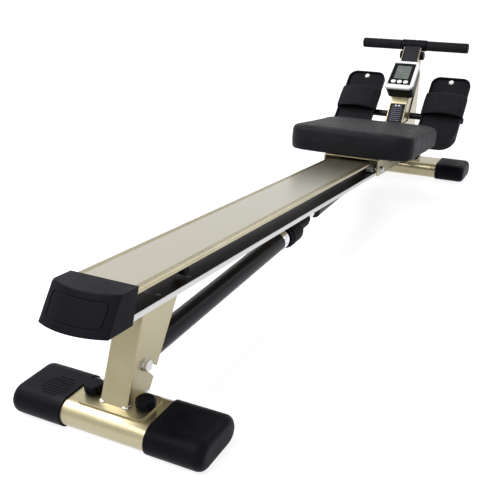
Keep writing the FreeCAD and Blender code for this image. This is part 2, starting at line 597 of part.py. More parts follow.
def rail_end_cap():
    """The raked moulded cap, with a sunk border line round its bowed rear face."""
    part = body("rail_end_cap", on_rail())
    loft = cap_form(part, "shell", "0")
    rim = [f"Edge{index}" for index, edge in enumerate(loft.Shape.Edges, start=1)
           if abs(edge.CenterOfMass.z - number("end_cap_rise")) < CLOSE
           and edge.CenterOfMass.x < number("end_cap_front - rail_sheet")]
    rounded(part, loft, rim, "end_cap_edge")
    border = sketch(part, "border", "YZ", ("0", "0", "rail_rear"))
    for inset in ("end_cap_border", "end_cap_border + end_cap_groove_width"):
        low = f"(0 - end_cap_depth + ({inset}))"
        high = f"(end_cap_rise - ({inset}))"
        middle = f"({low} + {high}) / 2"
        draw_soft_rectangle(border, f"rail_width - 2 * ({inset})", f"{high} - {low}",
                            f"end_cap_border_corner + end_cap_border - ({inset})", ("0", middle))
    cut(part, border, "end_cap_length + end_cap_rake", midplane=False)
    cap_form(part, "core", "end_cap_groove_depth")
    socket = rectangle("rail_width", "rail_height", ("0", "0 - rail_height / 2"))
    cut(part, outline(part, "socket", "YZ", socket, at=("0", "0", "rail_rear")), "end_cap_length",
        midplane=False, reverse=True)


# ---------------------------------------------------------------- rear leg
LEG_SCREW_STATIONS = (("rear", "leg_plate_start + leg_bolt_inset"),
                      ("front", "leg_plate_end - leg_bolt_inset"))


def rear_leg():
    """A U of folded plate, its web to the rear, under a plate bolted to the rail."""
    part = body("rear_leg", world())
    under = "(rail_channel_floor + rail_sheet + leg_plate_thickness)"

    def head(x):
        return f"rail_top - ({x}) * tan({SLOPE}) - {under} / cos({SLOPE})"

    rear, front = "leg_rear_top", "leg_front_top"
    outer = [("leg_rear_foot", PLATE_TOP), ("leg_front_foot", PLATE_TOP), (front, head(front)),
             (rear, head(rear))]
    block = pad(part, outline(part, "outer", "XZ", outer), "leg_width", midplane=True)
    doc.recompute()
    slant = Vector(number(f"{rear} - leg_rear_foot"), 0, number(f"{head(rear)} - {PLATE_TOP}")).normalize()
    middle = number(f"(leg_rear_foot + {front}) / 2")
    folds = edges_along(block.Shape, slant, lambda spot: spot.x < middle)
    rounded(part, block, folds, "leg_bend")
    run = f"(({rear}) - leg_rear_foot)"
    rise = f"(({head(rear)}) - {PLATE_TOP})"
    web = f"leg_sheet * sqrt(1 + ({run} / {rise}) ^ 2)"
    inner = [(f"leg_rear_foot + {web} - {run} / {rise} * overcut", f"{PLATE_TOP} - overcut"),
             (f"{front} + overcut", f"{PLATE_TOP} - overcut"), (f"{front} + overcut", head(front)),
             (f"{rear} + {web}", head(rear))]
    cut(part, outline(part, "inner", "XZ", inner), "leg_width - 2 * leg_sheet")

    def lower(station, depth):
        return (f"({station}) * cos({SLOPE}) - ({depth}) * sin({SLOPE})",
                f"rail_top - ({station}) * sin({SLOPE}) - ({depth}) * cos({SLOPE})")

    floor = "rail_channel_floor + rail_sheet"
    plate = [lower("leg_plate_start", floor), lower("leg_plate_end", floor), lower("leg_plate_end", under),
             lower("leg_plate_start", under)]
    pad(part, outline(part, "top_plate", "XZ", plate), "leg_plate_width", midplane=True)
    cut(part, circles(part, "damper_hole", "XZ", [("damper_pivot_x", "damper_pivot_z")],
                      "damper_bolt_diameter"))
    cut(part, hook_slot(part))
    for name, station in LEG_SCREW_STATIONS:
        x, z = lower(station, floor)
        holes = circles(part, name + "_screw_holes", "XY",
                        [("0", f"{side} * leg_bolt_offset") for _, side in SIDES], "base_bolt_diameter",
                        at=(x, "0", z))
        holes.AttachmentOffset = FreeCAD.Placement(Vector(), FreeCAD.Rotation(ACROSS, 1))
        bind(holes, "AttachmentOffset.Rotation.Angle", "rail_slope")
        cut(part, holes, "4 * leg_plate_thickness")


def hook_slot(part):
    """The open slot that lets the damper's bolt drop into the leg from in front."""
    tilt = "hook_slot_tilt * 1 deg"

    def spot(reach, aside):
        return (f"damper_pivot_x + ({reach}) * cos({tilt}) + ({aside}) * sin({tilt})",
                f"damper_pivot_z - ({reach}) * sin({tilt}) + ({aside}) * cos({tilt})")

    half = "damper_bolt_diameter / 2"
    mouth = "hook_slot_width"
    return outline(part, "hook_slot", "XZ", [spot("0", half), spot("0", f"0 - {half}"),
                                             spot("hook_slot_reach", f"0 - {mouth}"),
                                             spot("hook_slot_reach", mouth)])


def leg_screws():
    """Four set screws up through the leg's plate into the rail's lower flanges."""
    part = body("leg_screws", on_rail())
    low = "(0 - rail_channel_floor - rail_sheet - leg_plate_thickness)"
    for station_name, station in LEG_SCREW_STATIONS:
        for side_name, side in SIDES:
            name = f"{station_name}_{side_name}"
            spot = f"{side} * leg_bolt_offset"
            turned(part, name, "XZ", "V_Axis", [
                ("0", f"{low} - washer_thickness"),
                ("small_washer_diameter / 2", f"{low} - washer_thickness"),
                ("small_washer_diameter / 2", low), ("base_bolt_diameter / 2", low),
                ("base_bolt_diameter / 2", "0 - rail_channel_floor"), ("0", "0 - rail_channel_floor")],
                at=(station, "0", f"0 - {spot}"))
            top = f"{low} - washer_thickness - small_head_height"
            pad(part, outline(part, name + "_head", "XY", hexagon("small_head_across"),
                              at=(station, spot, top)), "small_head_height")


# ---------------------------------------------------------------- seat
BOARD_LOW = "(bracket_gap + bracket_sheet)"
PAD_LOW = "(bracket_gap + bracket_sheet + seat_board_thickness + seat_gap)"
AXLE_DEPTH = "(rail_channel_floor - track_gap - roller_diameter / 2)"
ROLLER_NEAR = "(rail_waist / 2 + roller_inset)"
ENDS = (("rear", -1), ("front", 1))


def axle_station(end):
    return f"(seat_station + {end} * wheelbase / 2)"


def seat_pad():
    """A wedge of foam in a cover, thicker at the rear, as one plain soft solid."""
    part = body("seat_pad", on_rail())
    start = "seat_station - seat_length / 2"
    end = "seat_station + seat_length / 2"
    side = [(start, PAD_LOW), (end, PAD_LOW), (end, f"{PAD_LOW} + seat_front_height"),
            (start, f"{PAD_LOW} + seat_rear_height")]
    block = pad(part, outline(part, "side", "XZ", side), "seat_width", midplane=True)
    doc.recompute()
    corners = rounded(part, block, edges_along(block.Shape, UP), "seat_corner")
    doc.recompute()
    top = [f"Edge{index}" for index, edge in enumerate(corners.Shape.Edges, start=1)
           if edge.CenterOfMass.z > number(f"{PAD_LOW} + seat_front_height") - 1e-3]
    rounded(part, corners, top, "seat_edge")


def seat_board():
    part = body("seat_board", on_rail())
    rounded_plate(part, "board", "seat_width - 2 * seat_board_inset", "seat_length - 2 * seat_board_inset",
                  "seat_board_corner", "seat_board_thickness", ("seat_station", "0", BOARD_LOW))


def seat_screw_spots():
    return [(f"seat_station + {end_sign} * seat_screw_station", f"{side} * seat_screw_offset")
            for _, end_sign in ENDS for _, side in SIDES]


def seat_bracket():
    """An inverted U of plate that straddles the rail and carries the roller bolts."""
    part = body("seat_bracket", on_rail())
    start = "seat_station - bracket_length / 2"
    end = "seat_station + bracket_length / 2"
    low = "0 - bracket_drop"
    block = pad(part, outline(part, "side", "XZ", [(start, low), (end, low), (end, BOARD_LOW),
                                                   (start, BOARD_LOW)]), "bracket_width", midplane=True)
    doc.recompute()
    feet = edges_along(block.Shape, ACROSS, lambda spot: spot.z < 0)
    soft = rounded(part, block, feet, "bracket_corner")
    doc.recompute()
    folds = edges_along(soft.Shape, AHEAD, lambda spot: spot.z > 0)
    rounded(part, soft, folds, "bracket_bend")
    gap = "bracket_width - 2 * bracket_sheet"
    cut(part, outline(part, "inside", "YZ", [
        (f"0 - ({gap}) / 2", f"{low} - overcut"), (f"({gap}) / 2", f"{low} - overcut"),
        (f"({gap}) / 2", "bracket_gap"), (f"0 - ({gap}) / 2", "bracket_gap")]))
    spots = [(axle_station(end_sign), f"0 - {AXLE_DEPTH}") for _, end_sign in ENDS]
    cut(part, circles(part, "axle_holes", "XZ", spots, "axle_diameter + hole_play"))
    cut(part, circles(part, "sight_holes", "XZ", [("seat_station", "0 - sight_hole_depth")], "sight_hole"))
    cut(part, circles(part, "screw_holes", "XY", seat_screw_spots(), "seat_bolt_diameter + hole_play",
                      at=("0", "0", "bracket_gap + bracket_sheet / 2")), "2 * bracket_sheet")


def seat_screws():
    """Four screws up through the bracket into the seat board."""
    part = body("seat_screws", on_rail())
    low = "(bracket_gap - seat_screw_head)"
    for index, (x, y) in enumerate(seat_screw_spots()):
        turned(part, f"screw_{index}", "XZ", "V_Axis", [
            ("0", low), ("seat_bolt_diameter", low),
            ("seat_bolt_diameter", "bracket_gap"), ("seat_bolt_diameter / 2", "bracket_gap"),
            ("seat_bolt_diameter / 2", BOARD_LOW), ("0", BOARD_LOW)], at=(x, "0", f"0 - ({y})"))


def roller_bolts():
    """Four shouldered bolts, each a fixed axle for one roller, with a washer, head and inner nut."""
    part = body("roller_bolts", on_rail())
    outside = "bracket_width / 2"
    inner = f"({ROLLER_NEAR} - roller_clearance - track_gap)"
    tip = f"({inner} - axle_tip)"
    spacer = f"({ROLLER_NEAR} + roller_width + stop_gap)"
    reach = f"({outside} + washer_thickness)"
    for end_name, end_sign in ENDS:
        for side_name, side in SIDES:
            name = f"{end_name}_{side_name}"
            x = axle_station(end_sign)
            lead = f"{side} *"
            turned(part, name, "XY", "V_Axis", [
                ("0", f"{lead} {tip}"), ("axle_spacer / 2", f"{lead} {tip}"),
                ("axle_spacer / 2", f"{lead} {inner}"), ("axle_diameter / 2", f"{lead} {inner}"),
                ("axle_diameter / 2", f"{lead} {spacer}"), ("axle_spacer / 2", f"{lead} {spacer}"),
                ("axle_spacer / 2", f"{lead} ({outside} - bracket_sheet)"),
                ("axle_diameter / 2", f"{lead} ({outside} - bracket_sheet)"),
                ("axle_diameter / 2", f"{lead} {outside}"),
                ("small_washer_diameter / 2", f"{lead} {outside}"),
                ("small_washer_diameter / 2", f"{lead} {reach}"),
                ("0", f"{lead} {reach}")], at=(x, "0", f"0 - {AXLE_DEPTH}"))
            lift = f"0 - {reach} - small_head_height" if side > 0 else reach
            pad(part, outline(part, name + "_head", "XZ", hexagon("small_head_across"),
                              at=(x, f"0 - {AXLE_DEPTH}", lift)), "small_head_height")


def seat_roller(end_name, end_sign, side_name, side):
    """A white nylon roller with a bored hub and dished faces."""
    part = body(f"seat_roller_{end_name}_{side_name}",
                world(f"{axle_station(end_sign)} * cos({SLOPE}) - {AXLE_DEPTH} * sin({SLOPE})",
                      f"{side} * ({ROLLER_NEAR} + roller_width / 2)",
                      f"rail_top - {axle_station(end_sign)} * sin({SLOPE}) - {AXLE_DEPTH} * cos({SLOPE})",
                      "rail_slope"))
    bore = "axle_diameter / 2 + axle_clearance"
    hub = f"({bore} + roller_hub_wall)"
    tread = "roller_diameter / 2"
    wall = f"({tread} - roller_rim_wall)"
    face = "roller_width / 2"
    dish = f"({face} - roller_dish)"
    low_half = [(bore, f"0 - {face}"), (hub, f"0 - {face}"), (f"{hub} + roller_bevel", f"0 - {dish}"),
                (f"{wall} - roller_bevel", f"0 - {dish}"), (wall, f"0 - {face}"),
                (f"{tread} - roller_bevel", f"0 - {face}"), (tread, f"0 - {face} + roller_bevel")]
    high_half = [(tread, f"{face} - roller_bevel"), (f"{tread} - roller_bevel", face), (wall, face),
                 (f"{wall} - roller_bevel", dish), (f"{hub} + roller_bevel", dish), (hub, face), (bore, face)]
    turned(part, "profile", "XY", "V_Axis", low_half + high_half)


def seat_stops():
    """Four rubber buffers in the rail's channels, a pair at each end of the seat's travel."""
    part = body("seat_stops", on_rail())
    reach = "((roller_diameter + stop_diameter) / 2 + stop_gap)"
    near = "(rail_waist / 2)"
    for end_name, station in (("rear", f"{axle_station(-1)} - seat_travel - {reach}"),
                              ("front", f"{axle_station(1)} + {reach}")):
        for side_name, side in SIDES:
            lead = f"{side} *"
            turned(part, f"{end_name}_{side_name}", "XY", "V_Axis", [
                ("0", f"{lead} {near}"), ("stop_diameter / 2", f"{lead} {near}"),
                ("stop_diameter / 2", f"{lead} ({near} + stop_thickness - stop_edge)"),
                ("stop_diameter / 2 - stop_edge", f"{lead} ({near} + stop_thickness)"),
                ("0", f"{lead} ({near} + stop_thickness)")], at=(station, "0", f"0 - {AXLE_DEPTH}"))


# ---------------------------------------------------------------- pull lever and handle
STEM_WIDTH = "(lever_width - 2 * lever_sheet - 2 * stem_fit)"


def pull_lever():
    """A U of folded plate: its web faces the rower, its walls run down past the pivot to the crank."""
    part = body("pull_lever", on_lever())
    rear = "0 - lever_depth / 2"
    front = "lever_depth / 2"
    foot = "0 - crank_length - crank_radius"
    side = [(rear, "0 - crank_taper"), ("0 - crank_radius", "0 - crank_length"), ("0 - crank_radius", foot),
            ("crank_radius", foot), ("crank_radius", "0 - crank_length"), (front, "0 - crank_taper"),
            (front, LEVER_TOP), (rear, LEVER_TOP)]
    blade = pad(part, outline(part, "side", "XZ", side), "lever_width", midplane=True)
    doc.recompute()
    tip = number(foot)
    blunt = rounded(part, blade, edges_along(blade.Shape, ACROSS, lambda spot: abs(spot.z - tip) < CLOSE),
                    "crank_corner")
    doc.recompute()
    folds = edges_along(blunt.Shape, UP, lambda spot: spot.x < 0 - number("crank_radius") - CLOSE)
    rounded(part, blunt, folds, "lever_bend")
    low = f"{foot} - overcut"
    inside = [(f"{rear} + lever_sheet", low), ("lever_depth", low),
              ("lever_depth", f"{LEVER_TOP} + overcut"), (f"{rear} + lever_sheet", f"{LEVER_TOP} + overcut")]
    cut(part, outline(part, "inside", "XZ", inside), "lever_width - 2 * lever_sheet")
    for name, start, end in (("crank_window", low, "lever_web_start"),
                             ("stem_window", "handle_height - lever_web_drop", f"{LEVER_TOP} + overcut")):
        window = [("0 - lever_depth", start), (f"{rear} + 2 * lever_sheet", start),
                  (f"{rear} + 2 * lever_sheet", end), ("0 - lever_depth", end)]
        cut(part, outline(part, name, "XZ", window), "lever_width - 2 * lever_sheet")
    cut(part, circles(part, "bush_holes", "XZ", [("0", "0")], "bush_diameter"))
    cut(part, circles(part, "pin_holes", "XZ", [("0", "0 - crank_length")], "pin_diameter + hole_play"))
    cut(part, circles(part, "clamp_holes", "XZ", [("0", CLAMP_PLACE)], "base_bolt_diameter + hole_play"))


def lever_bushes():
    """Two plain bushes pressed into the lever's walls."""
    part = body("lever_bushes", on_lever())
    for side_name, side in SIDES:
        lead = f"{side} *"
        outer = "(lever_width / 2)"
        flange = "bush_diameter / 2 + bush_flange"
        turned(part, side_name, "XY", "V_Axis", [
            ("pivot_diameter / 2 + pivot_clearance", f"{lead} ({outer} - lever_sheet - bush_depth)"),
            (flange, f"{lead} ({outer} - lever_sheet - bush_depth)"),
            (flange, f"{lead} ({outer} - lever_sheet)"),
            ("bush_diameter / 2", f"{lead} ({outer} - lever_sheet)"),
            ("bush_diameter / 2", f"{lead} {outer}"),
            ("pivot_diameter / 2 + pivot_clearance", f"{lead} {outer}")])


def lever_pivot_bolt():
    part = body("lever_pivot_bolt", on_lever())
    cross_bolt(part, "post_width", "pivot_diameter")


def crank_pin():
    """The pin across the crank's foot, riveted over outside both walls."""
    part = body("crank_pin", on_lever())
    edge = "(lever_width / 2 - lever_sheet)"
    pin = "pin_diameter / 2"
    ring = "(pin_diameter / 2 + pin_collar)"
    turned(part, "pin", "XY", "V_Axis", [
        ("0", f"0 - {edge} - lever_sheet"), (pin, f"0 - {edge} - lever_sheet"), (pin, f"0 - {edge}"),
        (ring, f"0 - {edge}"), (ring, f"0 - {edge} + pin_collar_width"),
        (pin, f"0 - {edge} + pin_collar_width"), (pin, f"{edge} - pin_collar_width"),
        (ring, f"{edge} - pin_collar_width"), (ring, edge), (pin, edge),
        (pin, f"{edge} + lever_sheet"), ("0", f"{edge} + lever_sheet")], at=("0", "0", "0 - crank_length"))


def handle_stem():
    """The black box tube that drops from the handle into the head of the lever."""
    part = body("handle_stem", on_lever())
    wide, deep = STEM_WIDTH, "stem_depth"
    top = "handle_height - bar_diameter / 2 + stem_seat"
    pad(part, outline(part, "outer", "XY", rectangle(deep, wide), at=("0", "0", STEM_LOW)),
        f"{top} - {STEM_LOW}")
    cut(part, outline(part, "inner", "XY", rectangle(f"{deep} - 2 * stem_wall", f"{wide} - 2 * stem_wall")))
    cut(part, circles(part, "bar_seat", "XZ", [("0", "handle_height")], "bar_diameter"))
    cut(part, circles(part, "clamp_hole", "XZ", [("0", CLAMP_PLACE)], "base_bolt_diameter + hole_play"))


def handle_clamp():
    """The clamp screw through lever and stem, with a round black knob at each end."""
    part = body("handle_clamp", on_lever())
    wall = "(lever_width / 2)"
    rim = "clamp_diameter / 2"
    end = f"({wall} + clamp_thickness)"
    turned(part, "screw", "XY", "V_Axis", [
        ("0", f"0 - {end}"), (f"{rim} - clamp_bevel", f"0 - {end}"), (rim, f"0 - {end} + clamp_bevel"),
        (rim, f"0 - {wall}"), ("base_bolt_diameter / 2", f"0 - {wall}"), ("base_bolt_diameter / 2", wall),
        (rim, wall), (rim, f"{end} - clamp_bevel"), (f"{rim} - clamp_bevel", end), ("0", end)],
        at=("0", "0", CLAMP_PLACE))


def handle_bar():
    part = body("handle_bar", on_lever())
    end = "(handle_length / 2 - plug_head)"
    turned(part, "tube", "XY", "V_Axis",
           tube_corners("bar_diameter / 2 - bar_wall", "bar_diameter / 2", f"0 - {end}", end),
           at=("0", "0", "handle_height"))


def handle_hub():
    """The moulded sleeve over the middle of the bar, with two screws on top."""
    part = body("handle_hub", on_lever())
    edge = "(hub_length / 2)"
    bore = "bar_diameter / 2"
    rim = "hub_diameter / 2"
    turned(part, "sleeve", "XY", "V_Axis", [
        (bore, f"0 - {edge}"), (f"{rim} - stem_seat", f"0 - {edge}"), (rim, f"0 - {edge} + hub_edge"),
        (rim, f"{edge} - hub_edge"), (f"{rim} - stem_seat", edge), (bore, edge)],
        at=("0", "0", "handle_height"))
    mouth = rectangle("stem_depth + 2 * stem_fit", f"{STEM_WIDTH} + 2 * stem_fit")
    reach = "(hub_diameter / 2 + overcut)"
    cut(part, outline(part, "stem_mouth", "XY", mouth, at=("0", "0", f"handle_height - {reach}")), reach,
        midplane=False, reverse=True)
    spots = [("0", f"{side} * hub_screw_offset") for _, side in SIDES]
    cut(part, circles(part, "screw_holes", "XY", spots, "hub_screw_diameter", at=("0", "0", "handle_height")),
        "hub_diameter", midplane=False, reverse=True)


def handle_screws():
    part = body("handle_screws", on_lever())
    shank = "(hub_screw_diameter / 2)"
    face = "(hub_diameter / 2)"
    for side_name, side in SIDES:
        turned(part, side_name, "XZ", "V_Axis", [
            ("0", "bar_diameter / 2"), (shank, "bar_diameter / 2"), (shank, face),
            ("hub_screw_head / 2", face), ("hub_screw_head / 2", f"{face} + hub_screw_height / 2"),
            (shank, f"{face} + hub_screw_height"), ("0", f"{face} + hub_screw_height")],
            at=("0", "handle_height", f"0 - {side} * hub_screw_offset"))


def handle_grip(side_name, side):
    """A foam sleeve with a rounded outer end."""
    part = body(f"grip_{side_name}", on_lever())
    lead = f"{side} *"
    inner = "(hub_length / 2 + grip_gap)"
    outer = "(handle_length / 2 - plug_head)"
    rim = "grip_diameter / 2"
    turned(part, "foam", "XY", "V_Axis", [
        ("bar_diameter / 2", f"{lead} {inner}"), (f"{rim} - grip_edge", f"{lead} {inner}"),
        (rim, f"{lead} ({inner} + grip_edge)"), (rim, f"{lead} ({outer} - grip_edge)"),
        (f"{rim} - grip_edge", f"{lead} {outer}"), ("bar_diameter / 2", f"{lead} {outer}")],
        at=("0", "0", "handle_height"))


def bar_plugs():
    """Pressed-in plugs that close the ends of the bar."""
    part = body("bar_plugs", on_lever())
    face = "(handle_length / 2)"
    bore = "bar_diameter / 2 - bar_wall"
    rim = "grip_diameter / 2"
    for side_name, side in SIDES:
        lead = f"{side} *"
        turned(part, side_name, "XY", "V_Axis", [
            ("0", f"{lead} ({face} - plug_length)"), (bore, f"{lead} ({face} - plug_length)"),
            (bore, f"{lead} ({face} - plug_head)"), (rim, f"{lead} ({face} - plug_head)"),
            (rim, f"{lead} ({face} - plug_bevel)"), (f"{rim} - plug_bevel", f"{lead} {face}"),
            ("0", f"{lead} {face}")], at=("0", "0", "handle_height"))


def trim_plate():
    """A thin ribbed black plate on the lever's web, below the console."""
    part = body("trim_plate", on_lever())
    face = "(0 - lever_depth / 2 - trim_thickness)"
    pad(part, outline(part, "plate", "YZ", rectangle(
        "trim_width", "trim_length", ("0", "trim_start + trim_length / 2")),
        at=("0", "0", face)), "trim_thickness")
    ribs = sketch(part, "ribs", "YZ", ("0", "0", f"{face} - trim_rib_height"))
    for index in range(int(number("trim_rib_count"))):
        spot = f"trim_start + trim_rib_start + {index} * trim_rib_pitch"
        draw_loop(ribs, rectangle("trim_rib_length", "trim_rib_width", ("0", spot)))
    pad(part, ribs, "trim_rib_height")


# ---------------------------------------------------------------- front post and crossbar
def rail_place(station, depth):
    """World coordinates of a point counted along and down from the rail's top."""
    return (f"({station}) * cos({SLOPE}) - ({depth}) * sin({SLOPE})",
            f"rail_top - ({station}) * sin({SLOPE}) - ({depth}) * cos({SLOPE})")


def front_post():
    """The fixed upright: two tapered walls with a web in front, and a tongue inside the rail."""
    part = body("front_post", world())
    offset = "(lever_depth / 2 + post_gap)"
    line_x = f"lever_pivot_x + {offset} * cos({TILT})"
    line_z = f"(lever_pivot_z - {offset} * sin({TILT}))"

    def along_lever(z):
        return (f"{line_x} + (({z}) - {line_z}) * tan({TILT})", z)

    top_x, top_z = along_lever("post_top")
    tail = "rail_front - tongue_length"
    under = "rail_sheet + tongue_gap"
    side = [rail_place(tail, "tongue_depth"), rail_place(tail, under),
            rail_place("rail_front + tongue_rise", under), ("ear_rear", "ear_top"),
            along_lever("ear_top"), (top_x, top_z), (f"{top_x} + post_top_depth", top_z),
            ("post_front_foot", PLATE_TOP), ("post_rear_foot", PLATE_TOP),
            rail_place("rail_front + tongue_heel", "tongue_depth")]
    block = pad(part, outline(part, "side", "XZ", side), "post_width", midplane=True)
    doc.recompute()
    slant = Vector(number(f"{top_x} + post_top_depth - post_front_foot"), 0,
                   number(f"post_top - {PLATE_TOP}")).normalize()
    behind = number("(post_rear_foot + post_front_foot) / 2")
    rounded(part, block, edges_along(block.Shape, slant, lambda spot: spot.x > behind), "post_bend")
    lean = f"((({top_x}) + post_top_depth - post_front_foot) / (post_top - {PLATE_TOP}))"
    over = "(post_top + overcut)"
    inside = [("0", "0"), (f"post_front_foot - post_sheet - {lean} * {PLATE_TOP}", "0"),
              (f"{top_x} + post_top_depth - post_sheet + {lean} * overcut", over), ("0", over)]
    cut(part, outline(part, "inside", "XZ", inside), "post_width - 2 * post_sheet")
    cut(part, circles(part, "pivot_holes", "XZ", [("lever_pivot_x", "lever_pivot_z")], "pivot_diameter"))
    cut(part, circles(part, "crossbar_holes", "XZ", [("crossbar_x", "crossbar_z")], "crossbar_diameter"))
    holes = [rail_place(station, TONGUE_BOLT_DEPTH) for station in tongue_bolt_stations()]
    cut(part, circles(part, "tongue_holes", "XZ", holes, "base_bolt_diameter + 2 * hole_play"))


def tongue_bolts():
    """Four short bolts from the rail's channels into the post's tongue."""
    part = body("tongue_bolts", on_rail())
    near = "(post_width / 2 - post_sheet)"
    face = "(rail_waist / 2)"
    reach = f"({face} + washer_thickness)"
    for index, station in enumerate(tongue_bolt_stations()):
        for side_name, side in SIDES:
            name = f"{side_name}_{index}"
            lead = f"{side} *"
            turned(part, name, "XY", "V_Axis", [
                ("0", f"{lead} ({near} - small_head_height)"),
                ("tongue_nut_diameter / 2", f"{lead} ({near} - small_head_height)"),
                ("tongue_nut_diameter / 2", f"{lead} {near}"), ("base_bolt_diameter / 2", f"{lead} {near}"),
                ("base_bolt_diameter / 2", f"{lead} {face}"), ("small_washer_diameter / 2", f"{lead} {face}"),
                ("small_washer_diameter / 2", f"{lead} {reach}"),
                ("0", f"{lead} {reach}")], at=(station, "0", f"0 - {TONGUE_BOLT_DEPTH}"))
            lift = f"0 - {reach} - small_head_height" if side > 0 else reach
            pad(part, outline(part, name + "_head", "XZ", hexagon("small_head_across"),
                              at=(station, f"0 - {TONGUE_BOLT_DEPTH}", lift)), "small_head_height")


def crossbar():
    part = body("pedal_crossbar", world("crossbar_x", "0", "crossbar_z"))
    end = "(crossbar_length / 2)"
    turned(part, "bar", "XY", "V_Axis",
           tube_corners("crossbar_diameter / 2 - crossbar_wall", "crossbar_diameter / 2", f"0 - {end}", end))


def crossbar_collars():
    """Rings that keep the pedals in place along the crossbar."""
    part = body("crossbar_collars", world("crossbar_x", "0", "crossbar_z"))
    for side_name, side in SIDES:
        for place_name, shift in (("inner", -1), ("outer", 1)):
            near = f"(pedal_offset + {shift} * (sleeve_length / 2 + collar_gap))"
            far = f"(pedal_offset + {shift} * (sleeve_length / 2 + collar_gap + pedal_collar_width))"
            turned(part, f"{side_name}_{place_name}", "XY", "V_Axis", [
                ("crossbar_diameter / 2", f"{side} * {near}"), ("sleeve_diameter / 2", f"{side} * {near}"),
                ("sleeve_diameter / 2", f"{side} * {far}"), ("crossbar_diameter / 2", f"{side} * {far}")])


def crossbar_caps():
    part = body("crossbar_caps", world("crossbar_x", "0", "crossbar_z"))
    face = "(crossbar_length / 2)"
    rim = "crossbar_diameter / 2"
    bore = f"({rim} - crossbar_wall)"
    for side_name, side in SIDES:
        lead = f"{side} *"
        turned(part, side_name, "XY", "V_Axis", [
            ("0", f"{lead} ({face} - crossbar_plug)"), (bore, f"{lead} ({face} - crossbar_plug)"),
            (bore, f"{lead} {face}"), (rim, f"{lead} {face}"), (rim, f"{lead} ({face} + crossbar_cap / 2)"),
            (f"{bore} - crossbar_wall / 2", f"{lead} ({face} + crossbar_cap)"),
            ("0", f"{lead} ({face} + crossbar_cap)")])


# ---------------------------------------------------------------- pedals
FOOT_FACE = "(pedal_stand + pedal_thickness)"


def pedal_outline(part, name, inset, lift):
    """A footplate outline, rounded at the toe and more so at the heel."""
    drawing = sketch(part, name, "XY", ("0", "0", lift))
    draw_rounded(drawing, f"(0 - pedal_heel + {inset})", f"(pedal_toe - {inset})",
                 f"(pedal_width / 2 - {inset})", f"(heel_corner - {inset})", f"(pedal_corner - {inset})")
    return drawing


def pedal_plate(side_name, side):
    """A moulded footplate: a floor with low side rims that rise into a cup round the heel."""
    part = body(f"pedal_plate_{side_name}", on_pedal(side))
    pad(part, pedal_outline(part, "outer", "0", "pedal_stand"), "pedal_thickness + heel_rise")
    cut(part, pedal_outline(part, "well", "pedal_rim_width", FOOT_FACE), "heel_rise + overcut",
        midplane=False, reverse=True)
    low = f"{FOOT_FACE} + pedal_rim"
    high = f"{FOOT_FACE} + heel_rise + overcut"
    toe = "pedal_toe + overcut"
    trim = [("0 - heel_top", high), ("0 - heel_cup", f"{FOOT_FACE} + heel_shoulder"),
            ("0 - pedal_rim_start", low), (toe, low), (toe, high)]
    cut(part, outline(part, "rim_trim", "XZ", trim))
    cut(part, circles(part, "rivet_hole", "XY", [("rivet_station", "0")], "rivet_shank",
                      at=("0", "0", "pedal_stand")), "pedal_thickness * 3")


def pedal_pivot(side_name, side):
    """A steel saddle under the footplate with the sleeve that turns on the crossbar."""
    part = body(f"pedal_pivot_{side_name}", on_pedal(side))
    half = "pedal_bracket_length / 2"
    top = "(pedal_stand - pedal_bracket_sheet)"
    radius = "sleeve_diameter / 2"
    cheek = [(f"0 - {half}", top), (f"0 - {radius}", "0"), (f"0 - {radius} / 2", f"0 - {radius}"),
             (f"{radius} / 2", f"0 - {radius}"), (radius, "0"), (half, top)]
    pad(part, outline(part, "cheeks", "XZ", cheek), "pedal_bracket_width", midplane=True)
    cut(part, outline(part, "between", "XZ", rectangle("2 * pedal_bracket_length", "pedal_stand * 4")),
        "pedal_bracket_width - 2 * pedal_bracket_sheet")
    pad(part, outline(part, "saddle", "XY", rectangle("pedal_bracket_length", "pedal_bracket_width"),
                      at=("0", "0", top)), "pedal_bracket_sheet")
    edge = "sleeve_length / 2"
    bore = "crossbar_diameter / 2 + sleeve_clearance"
    turned(part, "sleeve", "XY", "V_Axis", tube_corners(bore, radius, f"0 - {edge}", edge))
    cut(part, circles(part, "bore", "XZ", [("0", "0")], f"2 * ({bore})"))


def pedal_rivet(side_name, side):
    part = body(f"pedal_rivet_{side_name}", on_pedal(side))
    face = f"({FOOT_FACE})"
    washer = "rivet_washer / 2"
    below = "pedal_stand - pedal_bracket_sheet"
    turned(part, "rivet", "XZ", "V_Axis", [
        ("0", below), (washer, below), (washer, "pedal_stand"), ("rivet_shank / 2", "pedal_stand"),
        ("rivet_shank / 2", face), ("rivet_diameter / 2", face),
        ("rivet_diameter / 2", f"{face} + rivet_height / 2"),
        ("rivet_washer / 2", f"{face} + rivet_height"), ("0", f"{face} + rivet_height")],
        at=("rivet_station", "0", "0"))


